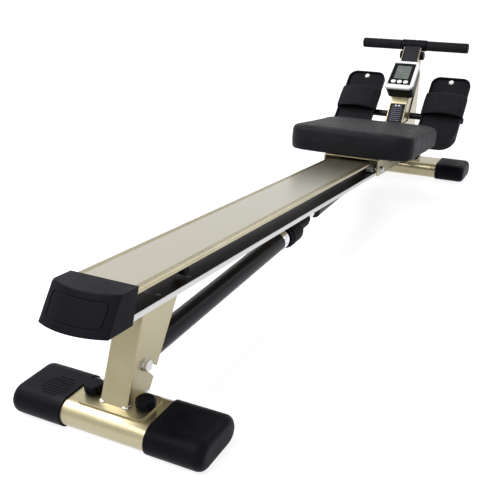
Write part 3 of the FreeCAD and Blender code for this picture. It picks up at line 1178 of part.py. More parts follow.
def pedal_strap(side_name, side):
    """A wide strap arched over the foot and tucked under both edges of the footplate."""
    part = body(f"pedal_strap_{side_name}", on_pedal(side))
    drawing = sketch(part, "arch", "YZ", ("0", "0", "strap_station - strap_width / 2"))
    wall = "(pedal_width / 2 + strap_gap)"
    tuck = f"({wall} - strap_tuck)"
    under = "(pedal_stand - strap_gap)"
    spring = f"({FOOT_FACE} + pedal_rim + strap_spring)"
    crown = f"({FOOT_FACE} + strap_rise)"
    arcs = []
    for across, top in ((f"({wall} + strap_thickness)", f"({crown} + strap_thickness)"), (wall, crown)):
        half, base, height = number(across), number(spring), number(top)
        arc = drawing.addGeometry(Part.Arc(Vector(half, base, 0), Vector(0, height, 0),
                                           Vector(-half, base, 0)), False)
        rise = f"({top} - {spring})"
        centre = f"{spring} + ({rise} ^ 2 - {across} ^ 2) / (2 * {rise})"
        held = drawing.addConstraint(Sketcher.Constraint("DistanceY", arc, 3, number(centre)))
        bind(drawing, f"Constraints[{held}]", centre)
        arcs.append((arc, {drawing.getPoint(arc, end).x > 0: end for end in (1, 2)}))
    (outer_arc, outer_ends), (inner_arc, inner_ends) = arcs
    for edge in (1, -1):
        legs = [(f"{edge} * ({wall} + strap_thickness)", spring),
                (f"{edge} * ({wall} + strap_thickness)", f"{under} - strap_thickness"),
                (f"{edge} * {tuck}", f"{under} - strap_thickness"), (f"{edge} * {tuck}", under),
                (f"{edge} * {wall}", under), (f"{edge} * {wall}", spring)]
        spots = [Vector(number(across), number(along), 0) for across, along in legs]
        lines = [drawing.addGeometry(Part.LineSegment(start, end), False)
                 for start, end in zip(spots, spots[1:])]
        for line, (across, along) in zip(lines, legs):
            fix(drawing, line, 1, across, along)
        fix(drawing, lines[-1], 2, *legs[-1])
        for line, following in zip(lines, lines[1:]):
            drawing.addConstraint(Sketcher.Constraint("Coincident", line, 2, following, 1))
        outer_end, inner_end = outer_ends[edge > 0], inner_ends[edge > 0]
        drawing.addConstraint(Sketcher.Constraint("Coincident", outer_arc, outer_end, lines[0], 1))
        drawing.addConstraint(Sketcher.Constraint("Coincident", inner_arc, inner_end, lines[-1], 2))
    pad(part, drawing, "strap_width")


# ---------------------------------------------------------------- damper
DIAL_START = "(cylinder_end + collar_length + dial_ring_length + dial_gap)"
DIAL_END = f"({DIAL_START} + dial_length)"
NECK_END = f"({DIAL_END} + dial_gap + neck_length)"
LINK_START = f"({NECK_END} + rod_bare)"


def damper_bolt():
    part = body("damper_bolt", world("damper_pivot_x", "0", "damper_pivot_z"))
    cross_bolt(part, "leg_width", "damper_bolt_diameter")


def damper_eye():
    """The forged rear eye, shouldered into the end of the cylinder."""
    part = body("damper_eye", on_damper())
    rim = "cylinder_diameter / 2"
    bore = "cylinder_diameter / 2 - cylinder_wall"
    start = "(cylinder_start - eye_shoulder)"
    plug = "(cylinder_start + eye_plug)"
    turned(part, "plug", "XZ", "H_Axis", [
        (start, "0"), (start, f"{rim} - eye_shoulder / 2"), (f"{start} + eye_shoulder / 2", rim),
        ("cylinder_start", rim), ("cylinder_start", bore), (plug, bore), (plug, "0")])
    radius = "eye_diameter / 2"
    root = f"({start} + collar_edge)"
    lug = [("0", f"0 - {radius}"), (root, f"0 - {radius} + collar_edge"), (root, f"{radius} - collar_edge"),
           ("0", radius)]
    pad(part, outline(part, "shank", "XZ", lug), "eye_width", midplane=True)
    pad(part, circles(part, "eye", "XZ", [("0", "0")], "eye_diameter"), "eye_width", midplane=True)
    cut(part, circles(part, "bore", "XZ", [("0", "0")], "damper_bolt_diameter + 2 * pivot_clearance"))


def damper_cylinder():
    part = body("damper_cylinder", on_damper())
    outer = "cylinder_diameter / 2"
    bore = "cylinder_diameter / 2 - cylinder_wall"
    turned(part, "tube", "XZ", "H_Axis", [("cylinder_start", bore), ("cylinder_start", outer),
                                          ("cylinder_end", outer), ("cylinder_end", bore)])


def damper_collar():
    """The polished gland that closes the cylinder and guides the rod."""
    part = body("damper_collar", on_damper())
    rod = "rod_diameter / 2 + rod_clearance"
    bore = "cylinder_diameter / 2 - cylinder_wall"
    rim = "collar_diameter / 2"
    end = "cylinder_end + collar_length"
    turned(part, "gland", "XZ", "H_Axis", [
        ("cylinder_end - collar_plug", rod), ("cylinder_end - collar_plug", bore), ("cylinder_end", bore),
        ("cylinder_end", f"{rim} - collar_edge"), ("cylinder_end + collar_edge", rim),
        (f"{end} - collar_edge", rim), (end, f"{rim} - collar_edge"), (end, rod)])


def damper_neck():
    """The stepped sleeve ahead of the gland: a back flange, the dial's journal and the nose."""
    part = body("damper_neck", on_damper())
    rod = "rod_diameter / 2 + rod_clearance"
    start = "(cylinder_end + collar_length)"
    back = f"({start} + dial_ring_length)"
    front = f"({DIAL_END} + dial_gap)"
    journal = "journal_diameter / 2"
    nose = "neck_diameter / 2"
    tip = f"({NECK_END} - neck_nose)"
    turned(part, "sleeve", "XZ", "H_Axis", [
        (start, rod), (start, "dial_ring_diameter / 2"), (back, "dial_ring_diameter / 2"),
        (back, journal), (front, journal), (front, f"{nose} + neck_step"),
        (f"{front} + neck_flange", f"{nose} + neck_step"), (f"{front} + neck_flange + neck_step", nose),
        (f"{tip} - neck_step", nose), (tip, f"{nose} - neck_step"),
        (f"{NECK_END} - collar_edge", f"{nose} - neck_step"),
        (NECK_END, f"{nose} - neck_step - collar_edge"), (NECK_END, rod)])


def resistance_dial():
    """The fluted resistance knob that turns on the neck's journal."""
    part = body("resistance_dial", on_damper())
    bore = "journal_diameter / 2 + pivot_clearance"
    rim = "dial_diameter / 2"
    turned(part, "drum", "XZ", "H_Axis", [
        (DIAL_START, bore), (DIAL_START, f"{rim} - dial_edge"), (f"{DIAL_START} + dial_edge", rim),
        (f"{DIAL_END} - dial_nose", rim), (f"{DIAL_END} - dial_edge", f"{rim} - dial_edge"),
        (DIAL_END, f"{rim} - 2 * dial_edge"), (DIAL_END, bore)])
    flutes = int(number("dial_flutes"))
    spots = [(f"(dial_diameter / 2 + flute_lift) * cos({360 / flutes * flute} deg)",
              f"(dial_diameter / 2 + flute_lift) * sin({360 / flutes * flute} deg)")
             for flute in range(flutes)]
    grooves = circles(part, "flutes", "YZ", spots, "flute_diameter",
                      at=("0", "0", f"{DIAL_START} + flute_start"))
    cut(part, grooves, "dial_length", midplane=False, reverse=True)


def piston_rod():
    part = body("piston_rod", on_damper())
    rear = "(cylinder_end - rod_inside)"
    rod = "rod_diameter / 2"
    piston = "cylinder_diameter / 2 - cylinder_wall - piston_gap"
    turned(part, "rod", "XZ", "H_Axis", [
        (rear, "0"), (rear, piston), (f"{rear} + piston_length", piston), (f"{rear} + piston_length", rod),
        (f"{LINK_START} + rod_socket", rod), (f"{LINK_START} + rod_socket", "0")])


def pull_link():
    """The black tube from the rod to the crank, with a slotted lug at its front end."""
    part = body("pull_link", on_damper())
    outer = "link_diameter / 2"
    inner = "link_diameter / 2 - link_wall"
    end = f"({DAMPER_LENGTH} - link_end)"
    socket = f"({LINK_START} + rod_socket)"
    turned(part, "tube", "XZ", "H_Axis", [
        (LINK_START, "rod_diameter / 2"), (LINK_START, f"{outer} - link_edge"),
        (f"{LINK_START} + link_edge", outer), (f"{end} - link_edge", outer), (end, f"{outer} - link_edge"),
        (end, "0"), (f"{end} - link_plug", "0"), (f"{end} - link_plug", inner),
        (f"{socket} + link_web", inner), (f"{socket} + link_web", "0"), (socket, "0"),
        (socket, "rod_diameter / 2")])
    nose = f"({DAMPER_LENGTH} + lug_slot_width / 2 + lug_nose)"
    shoulder = f"({end} + lug_shoulder)"
    root = f"({end} - link_web)"
    lug = [(root, "0 - lug_root / 2"), (shoulder, "0 - lug_height / 2"), (nose, "0 - lug_height / 2"),
           (nose, "lug_height / 2"), (shoulder, "lug_height / 2"), (root, "lug_root / 2")]
    block = pad(part, outline(part, "lug", "XZ", lug), "lug_width", midplane=True)
    doc.recompute()
    limit = number(nose)
    rounded(part, block, edges_along(block.Shape, ACROSS, lambda spot: abs(spot.x - limit) < CLOSE),
            "lug_nose")
    cut(part, outline(part, "slot", "XZ", rectangle("lug_slot_width", "lug_slot", (DAMPER_LENGTH, "0"))))


# ---------------------------------------------------------------- console
def console_bezel():
    part = body("console_bezel", on_console())
    drawing = sketch(part, "outer", "YZ", ("0", "0", "0"))
    low, high = "(console_width / 2)", "(console_top_width / 2)"
    draw_loop(drawing, [(f"0 - {low}", "0"), (low, "0"), (high, "console_length"),
                        (f"0 - {high}", "console_length")])
    block = pad(part, drawing, "bezel_thickness")
    doc.recompute()
    soft = rounded(part, block, edges_along(block.Shape, AHEAD), "console_corner")
    doc.recompute()
    front = [f"Edge{index}" for index, edge in enumerate(soft.Shape.Edges, start=1)
             if abs(edge.CenterOfMass.x) < CLOSE and edge.BoundBox.XLength < CLOSE]
    rounded(part, soft, front, "bezel_edge")
    window = sketch(part, "window", "YZ", ("0", "0", "0"))
    face_loop(window, "0 - 2 * screen_gap")
    cut(part, window)


def face_loop(drawing, inset):
    low, high = f"face_start + {inset}", f"face_start + face_length - ({inset})"
    wide, narrow = f"(face_width / 2 - ({inset}))", f"(face_top_width / 2 - ({inset}))"
    draw_loop(drawing, [(f"0 - {wide}", low), (wide, low), (narrow, high), (f"0 - {narrow}", high)])


def console_housing():
    """The wedge between the bezel and the lever's web."""
    part = body("console_housing", on_console())
    turn = "console_turn * 1 deg"
    reach = "(console_stand - lever_depth / 2)"

    def back(height):
        return f"({reach} - ({height}) * sin({turn})) / cos({turn})"

    high = "(console_length - housing_inset)"
    side = [("bezel_thickness", "housing_inset"), (back("housing_foot"), "housing_foot"), (back(high), high),
            ("bezel_thickness", high)]
    block = pad(part, outline(part, "side", "XZ", side), "console_top_width - 2 * housing_inset",
                midplane=True)
    doc.recompute()
    sides = [f"Edge{index}" for index, edge in enumerate(block.Shape.Edges, start=1)
             if edge.BoundBox.YLength < CLOSE and edge.BoundBox.XLength > number("bezel_thickness")
             and edge.BoundBox.ZLength < number("console_length") / 4]
    rounded(part, block, sides, "console_corner - housing_inset * 2")


def button_places():
    return [(f"{place} * button_pitch", "button_station") for place in (-1, 0, 1)]


def console_face():
    """The dark fascia with a window for the screen and three oval holes for the buttons."""
    part = body("console_face", on_console())
    drawing = sketch(part, "plate", "YZ", ("0", "0", "face_depth"))
    face_loop(drawing, "0")
    pad(part, drawing, "face_thickness")
    cut(part, outline(part, "window", "YZ", rectangle(
        "screen_width", "screen_length", ("0", "screen_start + screen_length / 2")),
        at=("0", "0", "face_depth")))
    for index, (across, along) in enumerate(button_places()):
        hole = flat_oval(part, f"button_hole_{index}", "button_length + 2 * button_clearance",
                         "button_width + 2 * button_clearance", at=(across, along, "face_depth"), plane="YZ")
        cut(part, hole)


def console_screen():
    part = body("console_screen", on_console())
    pad(part, outline(part, "pane", "YZ", rectangle(
        "screen_width - 2 * screen_gap", "screen_length - 2 * screen_gap",
        ("0", "screen_start + screen_length / 2")),
        at=("0", "0", "face_depth + screen_depth")), "bezel_thickness - face_depth - screen_depth")


def console_button(index):
    across, along = button_places()[index]
    part = body(f"console_button_{index + 1}", on_console())
    crown = pad(part, flat_oval(part, "crown", "button_length", "button_width",
                                at=(across, along, "face_depth - button_rise"), plane="YZ"),
                "button_rise + face_thickness + button_clearance")
    doc.recompute()
    front = number("face_depth - button_rise")
    rim = [f"Edge{number_of}" for number_of, edge in enumerate(crown.Shape.Edges, start=1)
           if abs(edge.CenterOfMass.x - front) < CLOSE]
    rounded(part, crown, rim, "button_edge")
    pad(part, flat_oval(part, "flange", "button_length + 2 * button_lip", "button_width + 2 * button_lip",
                        at=(across, along, "face_depth + face_thickness + button_clearance"), plane="YZ"),
        "button_flange")


def write():
    """Recompute, check every object, and write one file per sub-part."""
    doc.recompute()
    for item in doc.Objects:
        if "Invalid" in item.State or "Error" in item.State:
            raise RuntimeError(f"{item.Label} failed: {item.State}")
    os.makedirs("parts", exist_ok=True)
    for part in parts:
        if part.Shape.isNull() or not part.Shape.isValid():
            raise RuntimeError(f"{part.Label} has no valid shape")
        part.Shape.exportStep(f"parts/{part.Label}.step")
        box = part.Shape.BoundBox
        print(f"{part.Label}: {len(part.Shape.Solids)} solid, x {box.XMin:.1f}..{box.XMax:.1f},"
              f" y {box.YMin:.1f}..{box.YMax:.1f}, z {box.ZMin:.1f}..{box.ZMax:.1f}")


# ---------------------------------------------------------------- the machine
for END, STATION, LENGTH, _ in BASES:
    base_tube(END, STATION, LENGTH)
base_caps()
base_plates()
base_knobs()
rail_beam()
rail_end_cap()
rear_leg()
leg_screws()
seat_pad()
seat_board()
seat_bracket()
seat_screws()
roller_bolts()
for END, END_SIGN in ENDS:
    for SIDE_NAME, SIDE in SIDES:
        seat_roller(END, END_SIGN, SIDE_NAME, SIDE)
seat_stops()
pull_lever()
lever_bushes()
lever_pivot_bolt()
crank_pin()
handle_stem()
handle_clamp()
handle_bar()
handle_hub()
handle_screws()
bar_plugs()
trim_plate()
front_post()
tongue_bolts()
crossbar()
crossbar_collars()
crossbar_caps()
for SIDE_NAME, SIDE in SIDES:
    handle_grip(SIDE_NAME, SIDE)
    pedal_plate(SIDE_NAME, SIDE)
    pedal_pivot(SIDE_NAME, SIDE)
    pedal_rivet(SIDE_NAME, SIDE)
    pedal_strap(SIDE_NAME, SIDE)
damper_bolt()
damper_eye()
damper_cylinder()
damper_collar()
damper_neck()
resistance_dial()
piston_rod()
pull_link()
console_bezel()
console_housing()
console_face()
console_screen()
for BUTTON in range(3):
    console_button(BUTTON)
write()
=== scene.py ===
"""Looks of the rowing machine: materials, cushion, foot straps, floor, lights and camera.

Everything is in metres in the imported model's own frame: +X runs forward along the rail,
+Y is the rower's left and +Z is up, with the origin on the floor under the middle.
"""
import json
import math

import bmesh
import bpy
from mathutils import Matrix, Vector, noise

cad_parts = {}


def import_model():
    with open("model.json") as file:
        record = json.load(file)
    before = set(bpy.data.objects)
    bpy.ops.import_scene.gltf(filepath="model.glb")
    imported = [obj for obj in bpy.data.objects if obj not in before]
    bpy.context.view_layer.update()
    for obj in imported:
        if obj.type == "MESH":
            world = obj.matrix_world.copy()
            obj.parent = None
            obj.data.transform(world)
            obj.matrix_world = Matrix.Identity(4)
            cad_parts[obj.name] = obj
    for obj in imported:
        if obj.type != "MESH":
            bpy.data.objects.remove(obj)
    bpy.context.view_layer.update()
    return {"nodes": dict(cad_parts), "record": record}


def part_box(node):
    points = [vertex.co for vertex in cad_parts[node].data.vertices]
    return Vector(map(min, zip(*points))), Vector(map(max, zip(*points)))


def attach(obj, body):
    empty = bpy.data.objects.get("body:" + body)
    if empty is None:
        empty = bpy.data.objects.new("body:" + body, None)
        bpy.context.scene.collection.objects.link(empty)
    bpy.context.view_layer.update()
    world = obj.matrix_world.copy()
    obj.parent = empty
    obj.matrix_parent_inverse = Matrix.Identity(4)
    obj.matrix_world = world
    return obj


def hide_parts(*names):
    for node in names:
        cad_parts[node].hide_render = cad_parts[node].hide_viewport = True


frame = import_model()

NODES = frame["nodes"]
JOINTS = {joint["name"]: joint for joint in frame["record"]["behaviour"]["joints"]}
MM = 0.001
PEDAL_TILT = math.radians(42)
SIDES = (("left", 1), ("right", -1))


# ---------------------------------------------------------------- frames of the moving groups
def turned_frame(origin, angle):
    """Local X tipped down towards the front by an angle, as a matrix at a point."""
    return Matrix.Translation(Vector(origin)) @ Matrix.Rotation(angle, 4, "Y")


def local_box(node, matrix):
    """(lowest corner, highest corner) of a CAD node in a frame of its own."""
    inverse = matrix.inverted()
    spots = [inverse @ vertex.co for vertex in NODES[node].data.vertices]
    return (Vector(min(spot[i] for spot in spots) for i in range(3)),
            Vector(max(spot[i] for spot in spots) for i in range(3)))


seat_axis = JOINTS["seat_slide"]["axis"]
RAIL_SLOPE = math.atan2(seat_axis[2], -seat_axis[0])
RAIL = turned_frame((0, 0, 0), RAIL_SLOPE)
PEDALS = {side: turned_frame(JOINTS[f"pedal_{side}_tilt"]["pos_m"], -PEDAL_TILT) for side, _ in SIDES}
console_axis = JOINTS["button_1_press"]["axis"]
CONSOLE_TILT = math.atan2(-console_axis[2], console_axis[0])
LEVER_LEAN = math.radians(36.87)
LEVER = turned_frame(JOINTS["lever_swing"]["pos_m"], LEVER_LEAN)


# ---------------------------------------------------------------- material nodes
class Look:
    """A Principled material and short ways to add texture nodes to it."""

    def __init__(self, name, **sockets):
        """A material whose shader sockets, named with underscores, are set to plain values."""
        self.material = bpy.data.materials.new(name)
        self.material.use_nodes = True
        self.tree = self.material.node_tree
        self.shader = self.tree.nodes["Principled BSDF"]
        for socket, value in sockets.items():
            self.shader.inputs[socket.replace("_", " ")].default_value = value
        self.coordinates = self.add("ShaderNodeTexCoord").outputs["Object"]
        self.height = None

    def add(self, kind, inputs=None, **settings):
        """A new node with its settings, and its inputs fed from sockets or plain values."""
        node = self.tree.nodes.new(kind)
        for key, value in settings.items():
            setattr(node, key, value)
        for key, value in (inputs or {}).items():
            self.feed(node.inputs[key], value)
        return node

    def feed(self, socket, value):
        """Link a socket into another, or give it a plain value."""
        if isinstance(value, bpy.types.NodeSocket):
            self.tree.links.new(value, socket)
        else:
            socket.default_value = value

    def turned_coordinates(self, angle):
        """The object's coordinates in a frame tipped about Y."""
        spun = self.add("ShaderNodeVectorRotate", {"Vector": self.coordinates, "Angle": -angle},
                        rotation_type="Y_AXIS")
        return spun.outputs[0]

    def noise(self, size, detail=2.0):
        """Noise whose blotches are about size metres across."""
        node = self.add("ShaderNodeTexNoise", {"Vector": self.coordinates, "Scale": 1 / size,
                                               "Detail": detail})
        return node.outputs["Fac"]

    def cells(self, size, feature="F1"):
        """Distance within irregular cells about size metres across."""
        node = self.add("ShaderNodeTexVoronoi", {"Vector": self.coordinates, "Scale": 1 / size},
                        feature=feature)
        return node.outputs["Distance"]

    def remap(self, value, low, high, to_low=0.0, to_high=1.0):
        """The value carried from one range to another, clamped."""
        node = self.add("ShaderNodeMapRange", {"Value": value, "From Min": low, "From Max": high,
                                               "To Min": to_low, "To Max": to_high})
        return node.outputs["Result"]

    def math(self, operation, one, two=0.0):
        """A Math node of two values."""
        return self.add("ShaderNodeMath", {0: one, 1: two}, operation=operation).outputs[0]

    def mix(self, factor, one, two):
        """A colour between two others."""
        node = self.add("ShaderNodeMix", data_type="RGBA")
        for socket, value in ((0, factor), (6, one), (7, two)):
            self.feed(node.inputs[socket], value)
        return node.outputs[2]

    def set(self, socket, value):
        """Feed an input of the shader itself."""
        self.feed(self.shader.inputs[socket], value)

    def between(self, value, low, high):
        """1 where the value lies between two limits, else 0."""
        above = self.math("GREATER_THAN", value, low)
        return self.math("MULTIPLY", above, self.math("LESS_THAN", value, high))

    def soften(self, radius):
        """Sharp edges shaded as if rounded by radius metres."""
        self.height = self.add("ShaderNodeBevel", {"Radius": radius}, samples=4).outputs["Normal"]
        self.set("Normal", self.height)

    def bump(self, height, distance):
        """Relief of distance metres, added to any relief given before."""
        node = self.add("ShaderNodeBump", {"Height": height, "Distance": distance})
        if self.height is not None:
            self.tree.links.new(self.height, node.inputs["Normal"])
        self.height = node.outputs["Normal"]
        self.set("Normal", self.height)


def rgb(red, green, blue):
    """An opaque colour of three linear channels."""
    return (red, green, blue, 1.0)


def shade(colour, factor):
    """The colour made lighter or darker by a factor."""
    return rgb(*(channel * factor for channel in colour[:3]))


def drifting_colour(look, size, detail, one, two):
    """Base colour that drifts between two tones in blotches about size metres across."""
    drift = look.remap(look.noise(size, detail), 0.3, 0.7)
    look.set("Base Color", look.mix(drift, one, two))


def vary_roughness(look, low, high, size):
    """Roughness that drifts between two limits in blotches about size metres across."""
    look.set("Roughness", look.remap(look.noise(size, 4.0), 0.3, 0.7, low, high))


# ---------------------------------------------------------------- materials
CHAMPAGNE_DARK = rgb(0.31, 0.265, 0.15)
CHAMPAGNE_PALE = rgb(0.47, 0.42, 0.275)
# paler tone painted on the rail's flat top as a reflection of the white overhead
RAIL_TOP_PAINTED_REFLECTION = rgb(0.46, 0.43, 0.345)
RAIL_LIP = rgb(0.54, 0.53, 0.515)
# near-black painted shade for the inside of the rail's channels, which the lips keep in shadow
CHANNEL_PAINTED_SHADE = rgb(0.018, 0.015, 0.012)
PLATE_BLACK = rgb(0.007, 0.007, 0.008)
PLATE_CREST_GREY = rgb(0.13, 0.13, 0.17)
VINYL_BLACK = rgb(0.007, 0.007, 0.009)
VINYL_WORN = rgb(0.011, 0.011, 0.0135)
WEB_BLACK = rgb(0.007, 0.007, 0.009)
WEB_THREAD = rgb(0.014, 0.014, 0.017)
FOAM_BLACK = rgb(0.010, 0.010, 0.012)
FOAM_WORN = rgb(0.018, 0.018, 0.021)
BLACK_PLASTIC = rgb(0.0035, 0.0035, 0.006)
BLACK_STEEL = rgb(0.0065, 0.006, 0.0095)
SCREEN_DIM = rgb(0.085, 0.105, 0.09)
SCREEN_LIT = rgb(0.13, 0.155, 0.135)
SCREEN_BARS = rgb(0.028, 0.034, 0.030)
PAINT_DRIFT = 1.3
METAL_DRIFT = 0.82
PLASTIC_DRIFT = 0.93
FLAKE_SIZE = 0.7 * MM
FLAKE_SHARE = 0.55
RIB_CREST = 0.5 * MM
WARP_PITCH = 1.6 * MM
WEFT_PITCH = 2.2 * MM
STRAP_SEAM = 4 * MM
SEAM_WIDTH = 0.6 * MM
SCREEN_ROWS = 5.0
SCREEN_COLUMNS = 7.0
SCREEN_MARGIN = 0.08
BAR_ROW = (0.25, 0.80)
BAR_COLUMN = (0.22, 0.78)
HOLLOW_ROW = (0.38, 0.67)
HOLLOW_COLUMN = (0.36, 0.64)
BAR_STRENGTH = 0.75
CHAMPAGNE_METALLIC = 0.9
RAIL_BAND = 12 * MM
RAIL_FLAT_DEPTH = 0.4 * MM
LIP_HEIGHT = 9 * MM
LIP_THICK = 2 * MM
CHANNEL_FLOOR = 32.4 * MM
CHANNEL_TOP = 1.6 * MM
CHANNEL_MOUTH = 0.6 * MM
CHANNEL_OVER_LIP = 0.5 * MM


def champagne(name="champagne_paint"):
    """Metallic champagne powder coat: tiny flakes, slight orange peel, faint drift in tone."""
    look = Look(name, Metallic=CHAMPAGNE_METALLIC, Coat_Weight=0.45, Coat_Roughness=0.2)
    look.soften(0.6 * MM)
    drift = look.remap(look.noise(0.12, 3.0), 0.35, 0.65)
    flakes = look.remap(look.noise(FLAKE_SIZE, 2.0), 0.35, 0.72)
    tone = look.math("ADD", look.math("MULTIPLY", drift, 1 - FLAKE_SHARE),
                     look.math("MULTIPLY", flakes, FLAKE_SHARE))
    colour = look.mix(tone, CHAMPAGNE_DARK, CHAMPAGNE_PALE)
    look.set("Base Color", colour)
    vary_roughness(look, 0.31, 0.34, 0.05)
    look.bump(look.noise(0.0022, 2.0), 0.00001)
    return look, colour


def rail_paint():
    """The champagne coat: a painted reflection makes the flat top paler, the lips are silvery, and painted
    shade darkens the channels.
    """
    look, colour = champagne("rail_paint")
    split = look.add("ShaderNodeSeparateXYZ", {0: look.turned_coordinates(RAIL_SLOPE)})
    low, high = local_box("rail_beam", RAIL)
    side = look.math("ABSOLUTE", split.outputs["Y"])
    depth = look.math("SUBTRACT", high.z, split.outputs["Z"])
    lip_start = high.z - low.z - LIP_HEIGHT
    # the flat top gets a painted reflection: a paler colour for the white it faces
    flat = look.math("MULTIPLY", look.math("LESS_THAN", side, high.y - RAIL_BAND),
                     look.math("LESS_THAN", depth, RAIL_FLAT_DEPTH))
    lip = look.math("MULTIPLY", look.math("GREATER_THAN", depth, lip_start),
                    look.math("GREATER_THAN", side, high.y - LIP_THICK))
    # the channel strip is painted shade: near-black and not metallic where the lips shade the inner wall
    channel = look.math("MULTIPLY", look.between(side, CHANNEL_FLOOR, high.y - CHANNEL_MOUTH),
                        look.between(depth, CHANNEL_TOP, lip_start + CHANNEL_OVER_LIP))
    colour = look.mix(flat, colour, RAIL_TOP_PAINTED_REFLECTION)
    colour = look.mix(lip, colour, RAIL_LIP)
    look.set("Base Color", look.mix(channel, colour, CHANNEL_PAINTED_SHADE))
    # everything outside the strip of painted shade keeps the metallic coat
    painted = look.math("SUBTRACT", 1.0, channel)
    look.set("Metallic", look.math("MULTIPLY", painted, CHAMPAGNE_METALLIC))
    return look


def moulded(name, colour, roughness=(0.38, 0.50), grain=0.0009, relief=0.00010):
    """Black moulded plastic with a fine spark-eroded grain."""
    look = Look(name, Specular_IOR_Level=0.06)
    look.soften(0.8 * MM)
    drifting_colour(look, 0.05, 3.0, colour, shade(colour, PAINT_DRIFT))
    vary_roughness(look, *roughness, 0.03)
    look.bump(look.noise(grain, 3.0), relief)
    look.bump(look.cells(grain * 1.6), relief * 0.6)
    return look


def gloss_black(name, colour=BLACK_STEEL, roughness=(0.28, 0.31)):
    """Black powder coat over steel, smooth with slight orange peel."""
    look = Look(name, Specular_IOR_Level=0.12, Coat_Weight=0.04, Coat_Roughness=0.16)
    look.soften(0.6 * MM)
    drifting_colour(look, 0.04, 3.0, colour, shade(colour, PAINT_DRIFT))
    vary_roughness(look, *roughness, 0.015)
    look.bump(look.noise(0.004, 2.0), 0.00003)
    return look


def ribbed_plate():
    """Glossy black plate whose raised ribs are dull grey along their crests."""
    look = moulded("trim_black", PLATE_BLACK, (0.22, 0.32), 0.0008, 0.00004)
    low, _ = local_box("trim_plate", turned_frame((0, 0, 0), LEVER_LEAN))
    split = look.add("ShaderNodeSeparateXYZ", {0: look.turned_coordinates(LEVER_LEAN)})
    crest = look.math("LESS_THAN", split.outputs["X"], low.x + RIB_CREST)
    look.set("Base Color", look.mix(crest, PLATE_BLACK, PLATE_CREST_GREY))
    return look


def metal(name, colour, roughness, streak=0.004):
    """Bare or plated metal with drifting tone and fine rubbed marks."""
    look = Look(name, Metallic=1.0)
    look.soften(0.3 * MM)
    drifting_colour(look, streak * 4, 4.0, colour, shade(colour, METAL_DRIFT))
    vary_roughness(look, *roughness, streak)
    look.bump(look.noise(0.0008, 3.0), 0.00003)
    return look


def vinyl():
    """Soft black upholstery vinyl: creased leather grain with a dull sheen."""
    look = Look("seat_vinyl", Sheen_Weight=0.02, Sheen_Roughness=0.5, Specular_IOR_Level=0.08)
    drifting_colour(look, 0.07, 4.0, VINYL_BLACK, VINYL_WORN)
    vary_roughness(look, 0.44, 0.56, 0.02)
    look.bump(look.cells(0.0016, "DISTANCE_TO_EDGE"), 0.00016)
    look.bump(look.noise(0.0006, 3.0), 0.00008)
    look.bump(look.noise(0.035, 3.0), 0.0006)
    return look


def webbing():
    """Woven black strap: ribs along and across it, with a sewn line inside each edge."""
    look = Look("strap_web", Sheen_Weight=0.015, Sheen_Roughness=0.5, Specular_IOR_Level=0.08)
    split = look.add("ShaderNodeSeparateXYZ", {0: look.turned_coordinates(-PEDAL_TILT)})
    warp = look.math("SINE", look.math("MULTIPLY", split.outputs["X"], 2 * math.pi / WARP_PITCH))
    weft = look.math("SINE", look.math("MULTIPLY", look.math("ADD", split.outputs["Y"], split.outputs["Z"]),
                                       2 * math.pi / WEFT_PITCH))
    weave = look.remap(look.math("MULTIPLY", warp, weft), -1.0, 1.0)
    low, high = local_box("pedal_strap_left", turned_frame((0, 0, 0), -PEDAL_TILT))
    off_middle = look.math("ABSOLUTE", look.math("SUBTRACT", split.outputs["X"], (low.x + high.x) / 2))
    half = (high.x - low.x) / 2
    seam = look.between(off_middle, half - STRAP_SEAM - SEAM_WIDTH, half - STRAP_SEAM)
    look.set("Base Color", look.mix(look.math("MAXIMUM", weave, seam), WEB_BLACK, WEB_THREAD))
    vary_roughness(look, 0.60, 0.74, 0.01)
    look.bump(look.math("SUBTRACT", weave, look.math("MULTIPLY", seam, 2.0)), 0.00030)
    return look


def foam():
    """Closed-cell foam grip: matt, with tiny open pores."""
    look = Look("grip_foam", Sheen_Weight=0.02, Specular_IOR_Level=0.08)
    drifting_colour(look, 0.02, 4.0, FOAM_BLACK, FOAM_WORN)
    vary_roughness(look, 0.70, 0.85, 0.01)
    look.bump(look.cells(0.0011), 0.0003)
    look.bump(look.noise(0.0005, 2.0), 0.00012)
    return look


def pale_plastic(name, colour, roughness):
    """Smooth light plastic with a little mottling."""
    look = Look(name, Coat_Weight=0.2)
    look.soften(0.5 * MM)
    drifting_colour(look, 0.01, 4.0, colour, shade(colour, PLASTIC_DRIFT))
    vary_roughness(look, *roughness, 0.006)
    look.bump(look.noise(0.0012, 2.0), 0.00004)
    return look


def display():
    """A grey-green liquid-crystal display: rows of short dark bars behind clear plastic."""
    look = Look("display", Coat_Weight=0.6, Coat_Roughness=0.05)
    split = look.add("ShaderNodeSeparateXYZ", {0: look.turned_coordinates(CONSOLE_TILT)})
    low, high = local_box("console_screen", turned_frame((0, 0, 0), CONSOLE_TILT))
    across = look.math("DIVIDE", look.math("SUBTRACT", split.outputs["Y"], low.y), high.y - low.y)
    up = look.math("DIVIDE", look.math("SUBTRACT", split.outputs["Z"], low.z), high.z - low.z)
    rows = look.math("FRACT", look.math("MULTIPLY", up, SCREEN_ROWS))
    columns = look.math("FRACT", look.math("MULTIPLY", across, SCREEN_COLUMNS))
    inside = look.math("MULTIPLY", look.between(up, SCREEN_MARGIN, 1 - SCREEN_MARGIN),
                       look.between(across, SCREEN_MARGIN, 1 - SCREEN_MARGIN))
    bars = look.math("MULTIPLY", look.between(rows, *BAR_ROW), look.between(columns, *BAR_COLUMN))
    hollow = look.math("MULTIPLY", look.between(rows, *HOLLOW_ROW), look.between(columns, *HOLLOW_COLUMN))
    digits = look.math("MULTIPLY", inside, look.math("SUBTRACT", bars, hollow))
    glow = look.mix(look.remap(look.noise(0.02, 2.0), 0.3, 0.7), SCREEN_DIM, SCREEN_LIT)
    look.set("Base Color", look.mix(look.math("MULTIPLY", digits, BAR_STRENGTH), glow, SCREEN_BARS))
    vary_roughness(look, 0.25, 0.35, 0.01)
    look.bump(look.noise(0.0009, 2.0), 0.00002)
    return look


